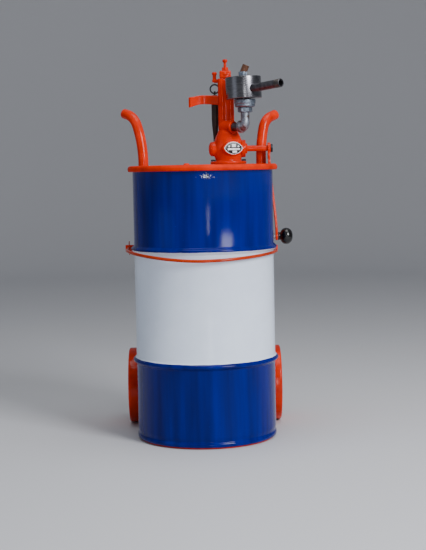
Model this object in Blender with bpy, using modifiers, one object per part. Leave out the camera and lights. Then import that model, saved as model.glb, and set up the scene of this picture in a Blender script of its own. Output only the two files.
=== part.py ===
# A hand rack pump on the cover of a 16 gallon drum, carried by a two-wheel hand truck.
# Metres, +Z up, +X to the operator's right, +Y away from the operator.
# The origin is on the drum's axis, at the floor.
from math import acos, cos, pi, radians, sin, sqrt, tan

import bpy
import bmesh
from mathutils import Matrix, Vector

GAP = 0.0003                     # room left between faces that touch

# Drum and cover
DRUM_R = 0.178                   # outside of the wall
DRUM_WALL = 0.0014
DRUM_FOOT = 0.0043               # stands on the toe plate
DRUM_TOP = 0.691
BEAD_R = 0.187
BEAD_HALF = 0.0065
BEAD_HEIGHTS = (0.487, 0.204)
CHIME_R = 0.1785
HEAD_Z = 0.017                   # top of the bottom head
COVER_R = 0.1905
COVER_LOW = 0.6815
COVER_TOP = 0.697
COVER_SHEET = 0.0016

# Hand truck
TOE_THICK = 0.004
TOE_R = 0.172                    # its round nose, under the drum's foot
TUBE_R = 0.0133
TUBE_BORE = 0.0110
UPRIGHT_X = 0.156
UPRIGHT_Y = 0.1335
# each handle: where it starts to lean, that bend's radius and lean, the next bend's, its straight end
HANDLES = {-1: (0.700, 0.250, 23.8, 0.0552, 74.7, 0.0133), 1: (0.715, 0.260, 16.8, 0.0442, 72.0, 0.0169)}
BAND_IN, BAND_OUT = 0.1875, 0.1915
BAND_HALF = 0.017
BAND_HEIGHTS = (0.487, 0.204)
WHEEL_R = 0.1016
WHEEL_IN, WHEEL_OUT = 0.176, 0.206
WHEEL_SHIFT = -0.0035            # the axle sits a little to the left
AXLE_Y = 0.200
AXLE_R = 0.008

# Hoop and its ends
HOOP_X = -0.006                  # centre of the hoop's half circle
HOOP_R = 0.190
HOOP_ROD = 0.004
HOOP_FRONT_Z = 0.4645
HOOP_EAR_Z = {-1: 0.483, 1: 0.476}
EAR_Y = 0.078
EAR_THICK = 0.004

# Pump body
BODY_X, BODY_Y = 0.069, 0.114
FLANGE_R = 0.0475
FLANGE_LOW, FLANGE_TOP = 0.6985, 0.7055
SHAFT_Y, SHAFT_Z = 0.108, 0.738
SHAFT_R = 0.00775
PLATE_HALF_LENGTH, PLATE_HALF_HEIGHT = 0.0262, 0.0163
PLATE_TURN = radians(18)         # the name plate looks this far to the right

# Rack, pinion and column
MODULE = 0.003
TEETH = 12
PITCH_R = MODULE * TEETH / 2
ADDENDUM, DEDENDUM = 0.75 * MODULE, 1.1 * MODULE
PRESSURE = radians(20)
BACKLASH = 0.0010
PINION_HALF = 0.006
RACK_X = 0.0646
RACK_HALF = 0.0055
RACK_BACK = 0.0052               # rack thickness behind its tooth roots
RACK_LOW, RACK_TOP = 0.688, 0.860
RACK_Y = SHAFT_Y + PITCH_R
BORE_Y = 0.1295
COLUMN_TOP = 0.9225
CAP_TOP = 0.943
SCREW_HEAD_TOP = 0.9725
SCREW_TIP = 0.8925

# Crank
ARM_IN = 0.1722
ARM_THICK = 0.006
ARM_HALF = 0.0125
ARM_SPREAD = 0.0173              # the arm's foot stands this far out from its head
KNOB_Z = 0.506

# Pump in the drum
CYL_Y = 0.129
CYL_OUT, CYL_IN = 0.021, 0.018
CYL_LOW, CYL_TOP = 0.062, 0.6968
HOLE_R = 0.0225

# Outlet fittings
ELBOW_X, ELBOW_Y, ELBOW_Z = 0.113, 0.055, 0.794
ELBOW_REACH = 0.0185
BOSS_REACH = 0.043               # from the elbow's upright leg to the casting's outlet boss
NIPPLE_R, NIPPLE_BORE = 0.01065, 0.0079
OUT_DIR = Vector((0.68, -0.733, 0.0)).normalized()
HEX_LOW, HEX_TOP = 0.830, 0.843
REDUCER_R, REDUCER_TOP = 0.0275, 0.8637
POT_R, POT_TOP = 0.046, 0.9207
POT_WALL = 0.004
PIPE_DIR = Vector((0.667, -0.741, 0.075)).normalized()
PIPE_ROOT = Vector((0.1341, 0.0164, 0.8891))    # where it leaves the canister
PIPE_LENGTH = 0.1085
TOP_LEAN = radians(23)
STUB_R = 0.0088
POT_LEAN = radians(-2.2)

# Ring and grip
LUG_X, LUG_Y = 0.0365, 0.1455
RING_R, RING_WIRE = 0.0115, 0.002
RING_Z = 0.8966
GRIP_R = 0.0092


def clear_scene():
    for thing in list(bpy.data.objects):
        bpy.data.objects.remove(thing, do_unlink=True)
    parts = bpy.data.collections.new("drum_pump")
    cutters = bpy.data.collections.new("cutters")
    bpy.context.scene.collection.children.link(parts)
    bpy.context.scene.collection.children.link(cutters)
    return parts, cutters


PARTS, CUTTERS = clear_scene()


def material(name, rgb, roughness, metallic=0.0):
    made = bpy.data.materials.new(name)
    made.use_nodes = True
    shader = made.node_tree.nodes["Principled BSDF"]
    shader.inputs["Base Color"].default_value = (*rgb, 1.0)
    shader.inputs["Roughness"].default_value = roughness
    shader.inputs["Metallic"].default_value = metallic
    made.diffuse_color = (*rgb, 1.0)
    return made


ORANGE = material("orange_enamel", (0.80, 0.09, 0.012), 0.25)
BLUE = material("blue_enamel", (0.003, 0.012, 0.18), 0.18)
ZINC = material("zinc_steel", (0.30, 0.31, 0.32), 0.40, 1.0)
DARK = material("dark_steel", (0.07, 0.07, 0.075), 0.45, 1.0)
GALVANISED = material("galvanised_iron", (0.42, 0.45, 0.48), 0.42, 1.0)
POT_GREY = material("bare_grey_iron", (0.24, 0.24, 0.25), 0.35, 1.0)
RUSTY = material("rusty_iron", (0.13, 0.06, 0.035), 0.70, 0.4)
PHENOLIC = material("black_phenolic", (0.012, 0.012, 0.013), 0.30)
RUBBER = material("black_rubber", (0.018, 0.014, 0.012), 0.65)
STEEL = material("bright_steel", (0.50, 0.50, 0.50), 0.30, 1.0)
LEATHER = material("oiled_leather", (0.16, 0.08, 0.04), 0.60)
CORK = material("cork_gasket", (0.30, 0.20, 0.11), 0.85)
PLATE = material("etched_plate", (0.45, 0.45, 0.46), 0.35, 1.0)


def place(thing, paint=None, at=(0, 0, 0), turn=None):
    """Puts an object in the parts, or in the cutters when it has no paint."""
    thing.location = at
    if turn is not None:
        thing.rotation_mode = "QUATERNION"
        thing.rotation_quaternion = turn
    if paint is None:
        CUTTERS.objects.link(thing)
        thing.hide_render = True
        thing.display_type = "WIRE"
    else:
        PARTS.objects.link(thing)
        thing.data.materials.append(paint)
    return thing


def along(direction):
    """The turn that takes +Z to a direction."""
    return Vector((0, 0, 1)).rotation_difference(Vector(direction))


ALONG_X = along((1, 0, 0))
ALONG_Y = along((0, 1, 0))


def from_bmesh(name, shape, paint, at, turn):
    bmesh.ops.recalc_face_normals(shape, faces=shape.faces)
    mesh = bpy.data.meshes.new(name)
    shape.to_mesh(mesh)
    shape.free()
    mesh.shade_smooth()
    mesh.set_sharp_from_angle(angle=radians(35))
    return place(bpy.data.objects.new(name, mesh), paint, at, turn)


def box(name, low, high, paint=None, at=(0, 0, 0), turn=None, bevel=0.0):
    """A box between two corners, which are measured from at."""
    shape = bmesh.new()
    size = [b - a for a, b in zip(low, high)]
    middle = [(a + b) / 2 for a, b in zip(low, high)]
    matrix = Matrix.Translation(middle) @ Matrix.Diagonal((*size, 1.0))
    bmesh.ops.create_cube(shape, size=1.0, matrix=matrix)
    if bevel:
        bmesh.ops.bevel(shape, geom=shape.edges[:], offset=bevel, segments=2, affect="EDGES", profile=0.5)
    return from_bmesh(name, shape, paint, at, turn)


def rod(name, radius, start, length, paint=None, direction=(0, 0, 1), sides=18, end_radius=None):
    """A cylinder, cone or prism from a point along a direction, with its origin at the start."""
    shape = bmesh.new()
    tip = radius if end_radius is None else end_radius
    bmesh.ops.create_cone(shape, cap_ends=True, segments=sides, radius1=radius, radius2=tip, depth=length,
                          matrix=Matrix.Translation((0, 0, length / 2)))
    return from_bmesh(name, shape, paint, start, along(direction))


def ball(name, radius, at, paint):
    shape = bmesh.new()
    bmesh.ops.create_uvsphere(shape, u_segments=12, v_segments=8, radius=radius)
    return from_bmesh(name, shape, paint, at, None)


def turned(name, outline, paint=None, at=(0, 0, 0), direction=(0, 0, 1), steps=32):
    """Turns an outline of (radius, height) points. It runs down the outer side.

    An outline that begins and ends on the axis is left open, and any other is closed."""
    mesh = bpy.data.meshes.new(name)
    points = [(radius, 0.0, height) for radius, height in outline]
    count = len(points)
    solid = outline[0][0] == 0.0 and outline[-1][0] == 0.0
    edges = [(i, (i + 1) % count) for i in range(count - 1 if solid else count)]
    mesh.from_pydata(points, edges, [])
    thing = place(bpy.data.objects.new(name, mesh), paint, at, along(direction))
    turn = thing.modifiers.new("turn", "SCREW")
    turn.axis = "Z"
    turn.angle = 2 * pi
    turn.steps = steps
    turn.render_steps = steps
    turn.use_merge_vertices = True
    turn.merge_threshold = 0.00001
    turn.use_smooth_shade = True
    return thing


def as_mesh(curve_object, paint, weld=True):
    """Swaps a curve for the same shape as a welded mesh."""
    bpy.context.view_layer.update()
    seen = curve_object.evaluated_get(bpy.context.evaluated_depsgraph_get())
    mesh = bpy.data.meshes.new_from_object(seen)
    matrix = curve_object.matrix_world.copy()
    name = curve_object.name
    bpy.data.objects.remove(curve_object, do_unlink=True)
    shape = bmesh.new()
    shape.from_mesh(mesh)
    if weld:
        bmesh.ops.remove_doubles(shape, verts=shape.verts, dist=0.00001)
    bmesh.ops.recalc_face_normals(shape, faces=shape.faces)
    shape.to_mesh(mesh)
    shape.free()
    mesh.name = name
    mesh.materials.clear()
    mesh.shade_smooth()
    mesh.set_sharp_from_angle(angle=radians(35))
    thing = bpy.data.objects.new(name, mesh)
    place(thing, paint)
    thing.matrix_world = matrix
    return thing


def bent_rod(name, points, radius, paint=None, resolution=2):
    """A round bar along points, with filled ends."""
    curve = bpy.data.curves.new(name, "CURVE")
    curve.dimensions = "3D"
    curve.bevel_depth = radius
    curve.bevel_resolution = resolution
    curve.use_fill_caps = True
    spline = curve.splines.new("POLY")
    spline.points.add(len(points) - 1)
    for knot, point in zip(spline.points, points):
        knot.co = (*point, 1.0)
    thing = bpy.data.objects.new(name, curve)
    PARTS.objects.link(thing)
    return as_mesh(thing, paint)


def plate(name, outlines, half, paint=None, at=(0, 0, 0), turn=None):
    """A flat outline, with any holes after it, extruded by half its thickness to each side."""
    curve = bpy.data.curves.new(name, "CURVE")
    curve.dimensions = "2D"
    curve.fill_mode = "BOTH"
    curve.extrude = half
    for outline in outlines:
        spline = curve.splines.new("POLY")
        spline.points.add(len(outline) - 1)
        spline.use_cyclic_u = True
        for knot, (x, y) in zip(spline.points, outline):
            knot.co = (x, y, 0.0, 1.0)
    thing = bpy.data.objects.new(name, curve)
    PARTS.objects.link(thing)
    thing.location = at
    if turn is not None:
        thing.rotation_mode = "QUATERNION"
        thing.rotation_quaternion = turn
    return as_mesh(thing, paint)


def circle(radius, count=20, x=0.0, y=0.0):
    return [(x + radius * cos(2 * pi * i / count), y + radius * sin(2 * pi * i / count)) for i in range(count)]


def arc(radius, first, last, count, x=0.0, y=0.0):
    """Points of an arc between two angles in radians."""
    step = (last - first) / count
    return [(x + radius * cos(first + step * i), y + radius * sin(first + step * i)) for i in range(count + 1)]


def join(target, *others, how="UNION"):
    """Adds shapes to a solid, or takes them away."""
    for other in others:
        change = target.modifiers.new(how.lower(), "BOOLEAN")
        change.operation = how
        change.object = other
        change.solver = "EXACT"
    return target


def cut(target, *others):
    return join(target, *others, how="DIFFERENCE")


def bend(start, direction, radius, turn_to, count):
    """Points of a bend that begins at start along direction and ends along turn_to."""
    first, last = Vector(direction).normalized(), Vector(turn_to).normalized()
    normal = first.cross(last).normalized()
    inward = normal.cross(first)
    centre = Vector(start) + inward * radius
    whole = acos(max(-1.0, min(1.0, first.dot(last))))
    points = []
    for i in range(1, count + 1):
        spin = Matrix.Rotation(whole * i / count, 3, normal)
        points.append(centre + spin @ (-inward * radius))
    return points



def hex_radius(across):
    """The corner radius of a hex head from its width across flats."""
    return across / 2 / cos(pi / 6)


def drum():
    outer = [(DRUM_R - 0.002, DRUM_TOP), (DRUM_R + 0.002, DRUM_TOP - 0.001), (DRUM_R + 0.003, DRUM_TOP - 0.005),
             (DRUM_R, DRUM_TOP - 0.009)]
    for height in BEAD_HEIGHTS:
        outer += [(DRUM_R, height + BEAD_HALF + 0.003), (BEAD_R - 0.001, height + 0.003),
                  (BEAD_R - 0.001, height - 0.003), (DRUM_R, height - BEAD_HALF - 0.003)]
    outer += [(DRUM_R - 0.0005, DRUM_FOOT + 0.020), (DRUM_R - 0.0025, DRUM_FOOT + 0.013),
              (CHIME_R, DRUM_FOOT + 0.009), (CHIME_R, DRUM_FOOT + 0.002), (CHIME_R - 0.002, DRUM_FOOT)]
    inner = [(radius - DRUM_WALL, height) for radius, height in reversed(outer[2:-3])]
    foot = [(CHIME_R - 0.006, DRUM_FOOT), (CHIME_R - 0.006, DRUM_FOOT + 0.010)]
    top = [(DRUM_R - 0.003, DRUM_TOP - 0.002)]
    turned("drum_shell", outer + foot + inner + top, BLUE, steps=32)
    edge = CHIME_R - 0.0085
    turned("drum_bottom_head", [(0, HEAD_Z), (edge - 0.004, HEAD_Z), (edge, HEAD_Z - 0.002), (edge, HEAD_Z - 0.006),
                                (edge - 0.002, HEAD_Z - 0.006), (edge - 0.005, HEAD_Z - 0.0014),
                                (0, HEAD_Z - 0.0014)], BLUE, steps=28)


def cover():
    top, low = COVER_TOP, COVER_LOW
    rim = COVER_R - 0.0035
    skin = turned("drum_cover", [(0, top - 0.0005), (rim - 0.006, top - 0.0005),
                                 (rim, top - 0.001), (COVER_R - 0.0006, top - 0.005), (COVER_R, top - 0.009),
                                 (COVER_R - 0.0015, low + 0.001), (rim, low), (rim - 0.0035, low + 0.001),
                                 (rim - 0.0045, low + 0.004), (rim - 0.004, top - 0.006),
                                 (rim - 0.006, top - 0.0005 - COVER_SHEET),
                                 (0, top - 0.0005 - COVER_SHEET)], ORANGE, steps=40)
    hole = rod("cover_hole", HOLE_R, (RACK_X, CYL_Y, low), 0.03, sides=28)
    cut(skin, hole)
    seat = DRUM_TOP + GAP
    under = top - 0.0005 - COVER_SHEET - GAP
    turned("cover_gasket", [(DRUM_R - 0.001, under), (DRUM_R - 0.001, seat), (DRUM_R - 0.008, seat),
                            (DRUM_R - 0.008, under)], CORK, steps=24)
    join(skin, turned("vent_boss", [(0, top + 0.0042), (0.006, top + 0.0036), (0.0075, top + 0.0018),
                                    (0.0075, top - 0.0012), (0, top - 0.0012)], at=(-0.04, -0.02, 0), steps=16))


def upright_path(side, inset=0.0):
    """The centre line of one upright, from its foot to the end of its handle."""
    x = side * UPRIGHT_X
    start, first_radius, first_lean, next_radius, next_lean, reach = HANDLES[side]
    diagonal = Vector((side, 1, 0)).normalized()
    first, after = [sin(radians(lean)) * diagonal + Vector((0, 0, cos(radians(lean))))
                    for lean in (first_lean, next_lean)]
    path = [Vector((x, UPRIGHT_Y, TOE_THICK + GAP - inset)), Vector((x, UPRIGHT_Y, start))]
    path += bend(path[-1], (0, 0, 1), first_radius, first, 5)
    path += bend(path[-1], first, next_radius, after, 6)
    return path + [path[-1] + after * (reach - inset)]


def hand_truck():
    nose = arc(TOE_R, radians(140), radians(400), 26)
    wing_y, back_y = nose[0][1], UPRIGHT_Y + TUBE_R + 0.004
    plate("toe_plate", [nose + [(TOE_R, wing_y), (TOE_R, back_y), (-TOE_R, back_y), (-TOE_R, wing_y)]],
          TOE_THICK / 2, ORANGE, at=(0, 0, TOE_THICK / 2))
    for side, word in ((-1, "left"), (1, "right")):
        tube = bent_rod(f"{word}_upright", upright_path(side), TUBE_R, ORANGE, resolution=2)
        cut(tube, bent_rod(f"{word}_upright_bore", upright_path(side, 0.004), TUBE_BORE, resolution=1))
    inner = UPRIGHT_X - TUBE_R - GAP
    for side, word in ((-1, "left"), (1, "right")):
        low, high = sorted((side * inner, side * (inner - 0.005)))
        bracket = box(f"{word}_axle_bracket", (low, UPRIGHT_Y - 0.012, 0.078), (high, AXLE_Y + 0.018, 0.126), ORANGE)
        cut(bracket, rod(f"{word}_axle_hole", AXLE_R + GAP, (low - 0.01, AXLE_Y, WHEEL_R), 0.03,
                         direction=(1, 0, 0), sides=20))
    for word, height, first in zip(("upper_band", "lower_band"), BAND_HEIGHTS, (radians(23), radians(36))):
        outline = arc(BAND_OUT, first, pi - first, 28) + arc(BAND_IN, pi - first, first, 28)
        band = plate(word, [outline], BAND_HALF, ORANGE, at=(0, 0, height))
        if word == "upper_band":
            for side in (-1, 1):
                x, z = HOOP_X + side * HOOP_R, HOOP_EAR_Z[side]
                near, far = sorted((x + side * 0.009, side * 0.172))
                join(band, box(f"ear_{side}", (near, EAR_Y - EAR_THICK, z - 0.009), (far, EAR_Y, z + 0.009)))
            for side in (-1, 1):
                x, z = HOOP_X + side * HOOP_R, HOOP_EAR_Z[side]
                cut(band, rod(f"ear_hole_{side}", HOOP_ROD + GAP, (x, EAR_Y - 0.02, z), 0.04, direction=(0, 1, 0),
                              sides=16))


def wheels():
    head_out, head_in = 0.2055, 0.2030
    turned("axle", [(0, head_out), (0.010, head_out), (0.012, head_out - 0.001), (0.012, head_in), (AXLE_R, head_in),
                    (AXLE_R, -head_in), (0.012, -head_in), (0.012, 0.001 - head_out), (0.010, -head_out),
                    (0, -head_out)], DARK, (WHEEL_SHIFT, AXLE_Y, WHEEL_R), (1, 0, 0), steps=20)
    for side, word in ((-1, "left"), (1, "right")):
        centre = (side * (WHEEL_IN + WHEEL_OUT) / 2 + WHEEL_SHIFT, AXLE_Y, WHEEL_R)
        half = (WHEEL_OUT - WHEEL_IN) / 2
        seat = WHEEL_R - 0.020
        turned(f"{word}_tyre", [(seat + GAP, half - 0.003), (WHEEL_R - 0.004, half), (WHEEL_R - 0.0008, half - 0.003),
                                (WHEEL_R, 0), (WHEEL_R - 0.0008, 0.003 - half), (WHEEL_R - 0.004, -half),
                                (seat + GAP, 0.003 - half)], ORANGE, centre, (1, 0, 0), steps=28)
        bore = AXLE_R + GAP
        turned(f"{word}_wheel_disc", [(bore, 0.011), (0.020, 0.011), (0.022, 0.004), (seat - 0.010, 0.004),
                                      (seat - 0.004, 0.010), (seat, 0.010), (seat, -0.010), (seat - 0.004, -0.010),
                                      (seat - 0.010, -0.004), (0.022, -0.004), (0.020, -0.011), (bore, -0.011)],
               ORANGE, centre, (1, 0, 0), steps=28)


def hoop():
    """A rod around the front of the drum, with its threaded ends through two ears."""
    left, right = HOOP_EAR_Z[-1], HOOP_EAR_Z[1]
    points = [(HOOP_X - HOOP_R, EAR_Y + 0.030, left), (HOOP_X - HOOP_R, EAR_Y - 0.008, left)]
    count = 30
    for i in range(count + 1):
        angle = pi + pi * i / count
        end = left if i < count / 2 else right
        height = HOOP_FRONT_Z + (end - HOOP_FRONT_Z) * abs(cos(angle)) ** 1.7
        points.append((HOOP_X + HOOP_R * cos(angle), HOOP_R * sin(angle) - 0.002, height))
    points += [(HOOP_X + HOOP_R, EAR_Y - 0.008, right), (HOOP_X + HOOP_R, EAR_Y + 0.022, right)]
    bent_rod("hoop", points, HOOP_ROD, ORANGE, resolution=2)
    behind = EAR_Y + GAP
    x, z = HOOP_X - HOOP_R, left
    nut = turned("wing_nut", [(HOOP_ROD + GAP, 0.012), (0.0062, 0.012), (0.0085, 0.0), (HOOP_ROD + GAP, 0.0)], ORANGE,
                 (x, behind, z), (0, 1, 0), steps=20)
    wings = []
    for sign in (-1, 1):
        outline = [(0.0058, 0.001), (0.0075, 0.0005), (0.0165, 0.009), (0.0182, 0.014), (0.0160, 0.0185),
                   (0.0120, 0.0175), (0.0058, 0.009)]
        wing = plate(f"wing_{sign}", [[(y, sign * r) for r, y in outline]], 0.0011, at=(x, behind, z),
                     turn=Matrix(((0, 0, 1), (1, 0, 0), (0, 1, 0))).to_quaternion())
        wings.append(wing)
    join(nut, *wings)
    nut_solid("hoop_nut", 0.013, 0.0065, (HOOP_X + HOOP_R, behind, right), (0, 1, 0), HOOP_ROD + GAP, DARK)


def nut_solid(name, across, height, at, direction, bore, paint):
    body = rod(name, hex_radius(across), at, height, paint, direction=direction, sides=6)
    reach = Vector(direction).normalized() * 0.01
    hole = rod(f"{name}_hole", bore, Vector(at) - reach, height + 0.02, direction=direction, sides=20)
    return cut(body, hole)


def pinion_outline():
    """Teeth about a centre, with a tooth gap pointing along +x."""
    base = PITCH_R * cos(PRESSURE)
    half = (pi / TEETH) / 2 - BACKLASH / 4 / PITCH_R
    spread = tan(PRESSURE) - PRESSURE
    tip, root = PITCH_R + ADDENDUM, PITCH_R - DEDENDUM
    flank = []
    for step in range(4):
        radius = base + (tip - base) * step / 3
        slope = sqrt(max(0.0, (radius / base) ** 2 - 1))
        turn = slope - acos(min(1.0, base / radius))
        flank.append((radius, half + spread - turn))
    points = []
    for tooth in range(TEETH):
        middle = 2 * pi * (tooth + 0.5) / TEETH
        wide = flank[0][1]
        for radius, angle in [(root, wide)] + flank:
            points.append((radius * cos(middle - angle), radius * sin(middle - angle)))
        for radius, angle in reversed([(root, wide)] + flank):
            points.append((radius * cos(middle + angle), radius * sin(middle + angle)))
    return points


def rack_outline():
    """Teeth on the -x side, with a tooth at the shaft's height."""
    pitch = pi * MODULE
    half = pitch / 4 - BACKLASH / 4
    back = DEDENDUM + RACK_BACK
    points = [(back, RACK_TOP), (back, RACK_LOW)]
    points += [(DEDENDUM, RACK_LOW)]
    for tooth in range(-4, 3):
        middle = SHAFT_Z + tooth * pitch
        foot = half + DEDENDUM * tan(PRESSURE)
        crest = half - ADDENDUM * tan(PRESSURE)
        points += [(DEDENDUM, middle - foot), (-ADDENDUM, middle - crest), (-ADDENDUM, middle + crest),
                   (DEDENDUM, middle + foot)]
    points += [(DEDENDUM, RACK_TOP)]
    return points


SIDE_ON = Matrix(((0, 0, 1), (1, 0, 0), (0, 1, 0))).to_quaternion()   # flat x, y become world Y, Z


def pump_body():
    outline = [(0, 0.7975), (0.0180, 0.7950), (0.0245, 0.7825), (0.0306, 0.7685), (0.0350, 0.7570), (0.0392, 0.7460),
               (0.0400, 0.7380), (0.0380, 0.722), (0.0345, 0.712), (0.0340, 0.7072), (0.0350, FLANGE_TOP), (FLANGE_R - 0.001, FLANGE_TOP),
               (FLANGE_R, FLANGE_TOP - 0.001), (FLANGE_R, FLANGE_LOW), (0, FLANGE_LOW)]
    body = turned("pump_body", outline, ORANGE, (BODY_X, BODY_Y, 0), steps=28)
    added = [rod("left_lobe", 0.0105, (0.0551, CYL_Y, 0.74), COLUMN_TOP - 0.74, sides=20),
             rod("right_lobe", 0.0100, (0.0768, CYL_Y, 0.74), COLUMN_TOP - 0.74, sides=20),
             box("column_web", (0.0560, BORE_Y - 0.0088, 0.7405), (0.0760, BORE_Y + 0.0088, COLUMN_TOP)),
             rod("left_boss", 0.0188, (0.0262, SHAFT_Y, SHAFT_Z), 0.03, direction=(1, 0, 0)),
             rod("right_boss", 0.0200, (0.09, SHAFT_Y, SHAFT_Z), 0.0145, direction=(1, 0, 0), end_radius=0.0185),
             rod("gland_flange", 0.0225, (0.1036, SHAFT_Y, SHAFT_Z), 0.0108, direction=(1, 0, 0))]
    mouth = Vector((ELBOW_X, ELBOW_Y, ELBOW_Z)) - OUT_DIR * BOSS_REACH
    added.append(rod("outlet_boss", 0.0160, mouth - OUT_DIR * 0.038, 0.038, direction=OUT_DIR))
    spin = Matrix.Rotation(PLATE_TURN, 4, "Z")
    pad = pointed_oval(PLATE_HALF_LENGTH + 0.003, PLATE_HALF_HEIGHT + 0.0025)
    pad_turn = (spin @ Matrix.Rotation(pi / 2, 4, "X")).to_quaternion()
    pad_at = Vector((BODY_X, BODY_Y, SHAFT_Z + 0.001)) + spin.to_3x3() @ Vector((0, -0.0345, 0))
    added.append(plate("plate_pad", [pad], 0.0075, at=pad_at, turn=pad_turn))
    join(body, *added)
    bore = SHAFT_R + GAP
    cut(body, box("rack_bore", (RACK_X - 0.0059, RACK_Y - ADDENDUM - 0.0006, 0.69),
                  (RACK_X + 0.0059, RACK_Y + DEDENDUM + RACK_BACK + 0.0005, COLUMN_TOP + 0.01)),
        box("pinion_way", (RACK_X - 0.0086, SHAFT_Y - 0.0225, 0.69), (RACK_X + 0.0086, BORE_Y + 0.0075, SHAFT_Z)),
        rod("pinion_room", 0.0226, (RACK_X - 0.0087, SHAFT_Y, SHAFT_Z), 0.0174, direction=(1, 0, 0)),
        rod("shaft_bore", bore, (0.02, SHAFT_Y, SHAFT_Z), 0.11, direction=(1, 0, 0)),
        rod("packing_room", 0.0125, (0.1035, SHAFT_Y, SHAFT_Z), 0.03, direction=(1, 0, 0)),
        rod("outlet_bore", NIPPLE_R + GAP, mouth - OUT_DIR * 0.012, 0.03, direction=OUT_DIR),
        rod("outlet_way", 0.006, mouth - OUT_DIR * 0.030, 0.03, direction=OUT_DIR, sides=16))
    turned("left_bearing_cover", [(0, 0.0085), (0.009, 0.0078), (0.0152, 0.0050), (0.0185, 0.0012), (0.0190, 0.0), (0, 0.0)], ORANGE,
           (0.0262 - GAP, SHAFT_Y, SHAFT_Z), (-1, 0, 0), steps=28)
    return body


def pointed_oval(half_length, half_height, count=10):
    """Two arcs that meet in points at the left and right."""
    radius = (half_length ** 2 + half_height ** 2) / (2 * half_height)
    swing = acos((radius - half_height) / radius)
    upper = arc(radius, pi / 2 - swing, pi / 2 + swing, count, y=half_height - radius)
    lower = arc(radius, 1.5 * pi - swing, 1.5 * pi + swing, count, y=radius - half_height)
    return upper[:-1] + lower[:-1]


def pump_trim():
    turned("base_gasket", [(FLANGE_R - 0.001, FLANGE_LOW - GAP), (FLANGE_R - 0.001, COVER_TOP - 0.0002),
                           (HOLE_R, COVER_TOP - 0.0002), (HOLE_R, FLANGE_LOW - GAP)], CORK,
           (BODY_X - 0.0005, BODY_Y + 0.0005, 0), steps=28)
    for number, angle in enumerate((-12, 192, 40, 140), start=1):
        at = (BODY_X + 0.0415 * cos(radians(angle)), BODY_Y + 0.0415 * sin(radians(angle)), FLANGE_TOP + GAP)
        rod(f"flange_bolt_{number}", hex_radius(0.0095), at, 0.004, DARK, sides=6)
    spin = Matrix.Rotation(PLATE_TURN, 4, "Z")
    turn = (spin @ Matrix.Rotation(pi / 2, 4, "X")).to_quaternion()
    reach = 0.042 + GAP + 0.0005
    at = Vector((BODY_X, BODY_Y, SHAFT_Z + 0.001)) + spin.to_3x3() @ Vector((0, -reach, 0))
    plate("name_plate", [pointed_oval(PLATE_HALF_LENGTH, PLATE_HALF_HEIGHT)], 0.0005, PLATE, at, turn)
    turned("shaft_packing", [(SHAFT_R + GAP, 0.0072), (0.0122, 0.0072), (0.0122, 0.0), (SHAFT_R + GAP, 0.0)], LEATHER,
           (0.1040, SHAFT_Y, SHAFT_Z), (1, 0, 0), steps=24)
    nut_solid("gland_nut", 0.026, 0.0040, (0.1147, SHAFT_Y, SHAFT_Z), (1, 0, 0), SHAFT_R + GAP, ORANGE)


def column_top():
    cap = box("column_cap", (0.0496, BORE_Y - 0.0125, COLUMN_TOP + GAP), (0.0796, BORE_Y + 0.0125, CAP_TOP), ORANGE,
              bevel=0.003)
    cut(cap, rod("stop_screw_hole", 0.0038, (RACK_X, BORE_Y, 0.90), 0.06, sides=16))
    join(cap, turned("cap_plug", [(0, 0.0022), (0.003, 0.0020), (0.0042, 0.0008), (0.0042, -0.002), (0, -0.002)],
                     at=(RACK_X - 0.0005, BORE_Y - 0.0125, 0.9335), direction=(0, -1, 0), steps=16))
    nut_solid("stop_locknut", 0.016, 0.0080, (RACK_X, BORE_Y, CAP_TOP + GAP), (0, 0, 1), 0.0038, ORANGE)
    top, tip = SCREW_HEAD_TOP, SCREW_TIP
    screw = turned("stop_screw", [(0, top), (0.005, top), (0.0065, top - 0.0012), (0.0065, top - 0.0062),
                                  (0.0050, top - 0.0075), (0.0035, top - 0.0080), (0.0035, tip), (0, tip)], ORANGE,
                   (RACK_X, BORE_Y, 0), steps=16)
    return screw


def drive():
    pinion = plate("pinion", [pinion_outline(), circle(SHAFT_R + GAP, 24)], PINION_HALF, STEEL,
                   (RACK_X, SHAFT_Y, SHAFT_Z), SIDE_ON)
    shaft = turned("crank_shaft", [(0, 0.1592), (0.0052, 0.1592), (0.006, 0.1582), (0.006, 0.1451), (SHAFT_R, 0.1451),
                                   (SHAFT_R, 0.0003), (0, 0.0003)], ORANGE, (0.0265, SHAFT_Y, SHAFT_Z), (1, 0, 0),
                   steps=24)
    key_half = 0.002
    slot = box("key_slot", (-0.0075, -key_half - GAP, SHAFT_R - 0.0025), (0.0075, key_half + GAP, SHAFT_R + 0.0025),
               at=(RACK_X, SHAFT_Y, SHAFT_Z))
    cut(pinion, slot)
    cut(shaft, slot)
    box("pinion_key", (-PINION_HALF, -key_half, SHAFT_R - 0.0022), (PINION_HALF, key_half, SHAFT_R + 0.0022), DARK,
        at=(RACK_X, SHAFT_Y, SHAFT_Z))
    plate("rack", [rack_outline()], RACK_HALF, STEEL, (RACK_X, RACK_Y, 0), SIDE_ON)


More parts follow.
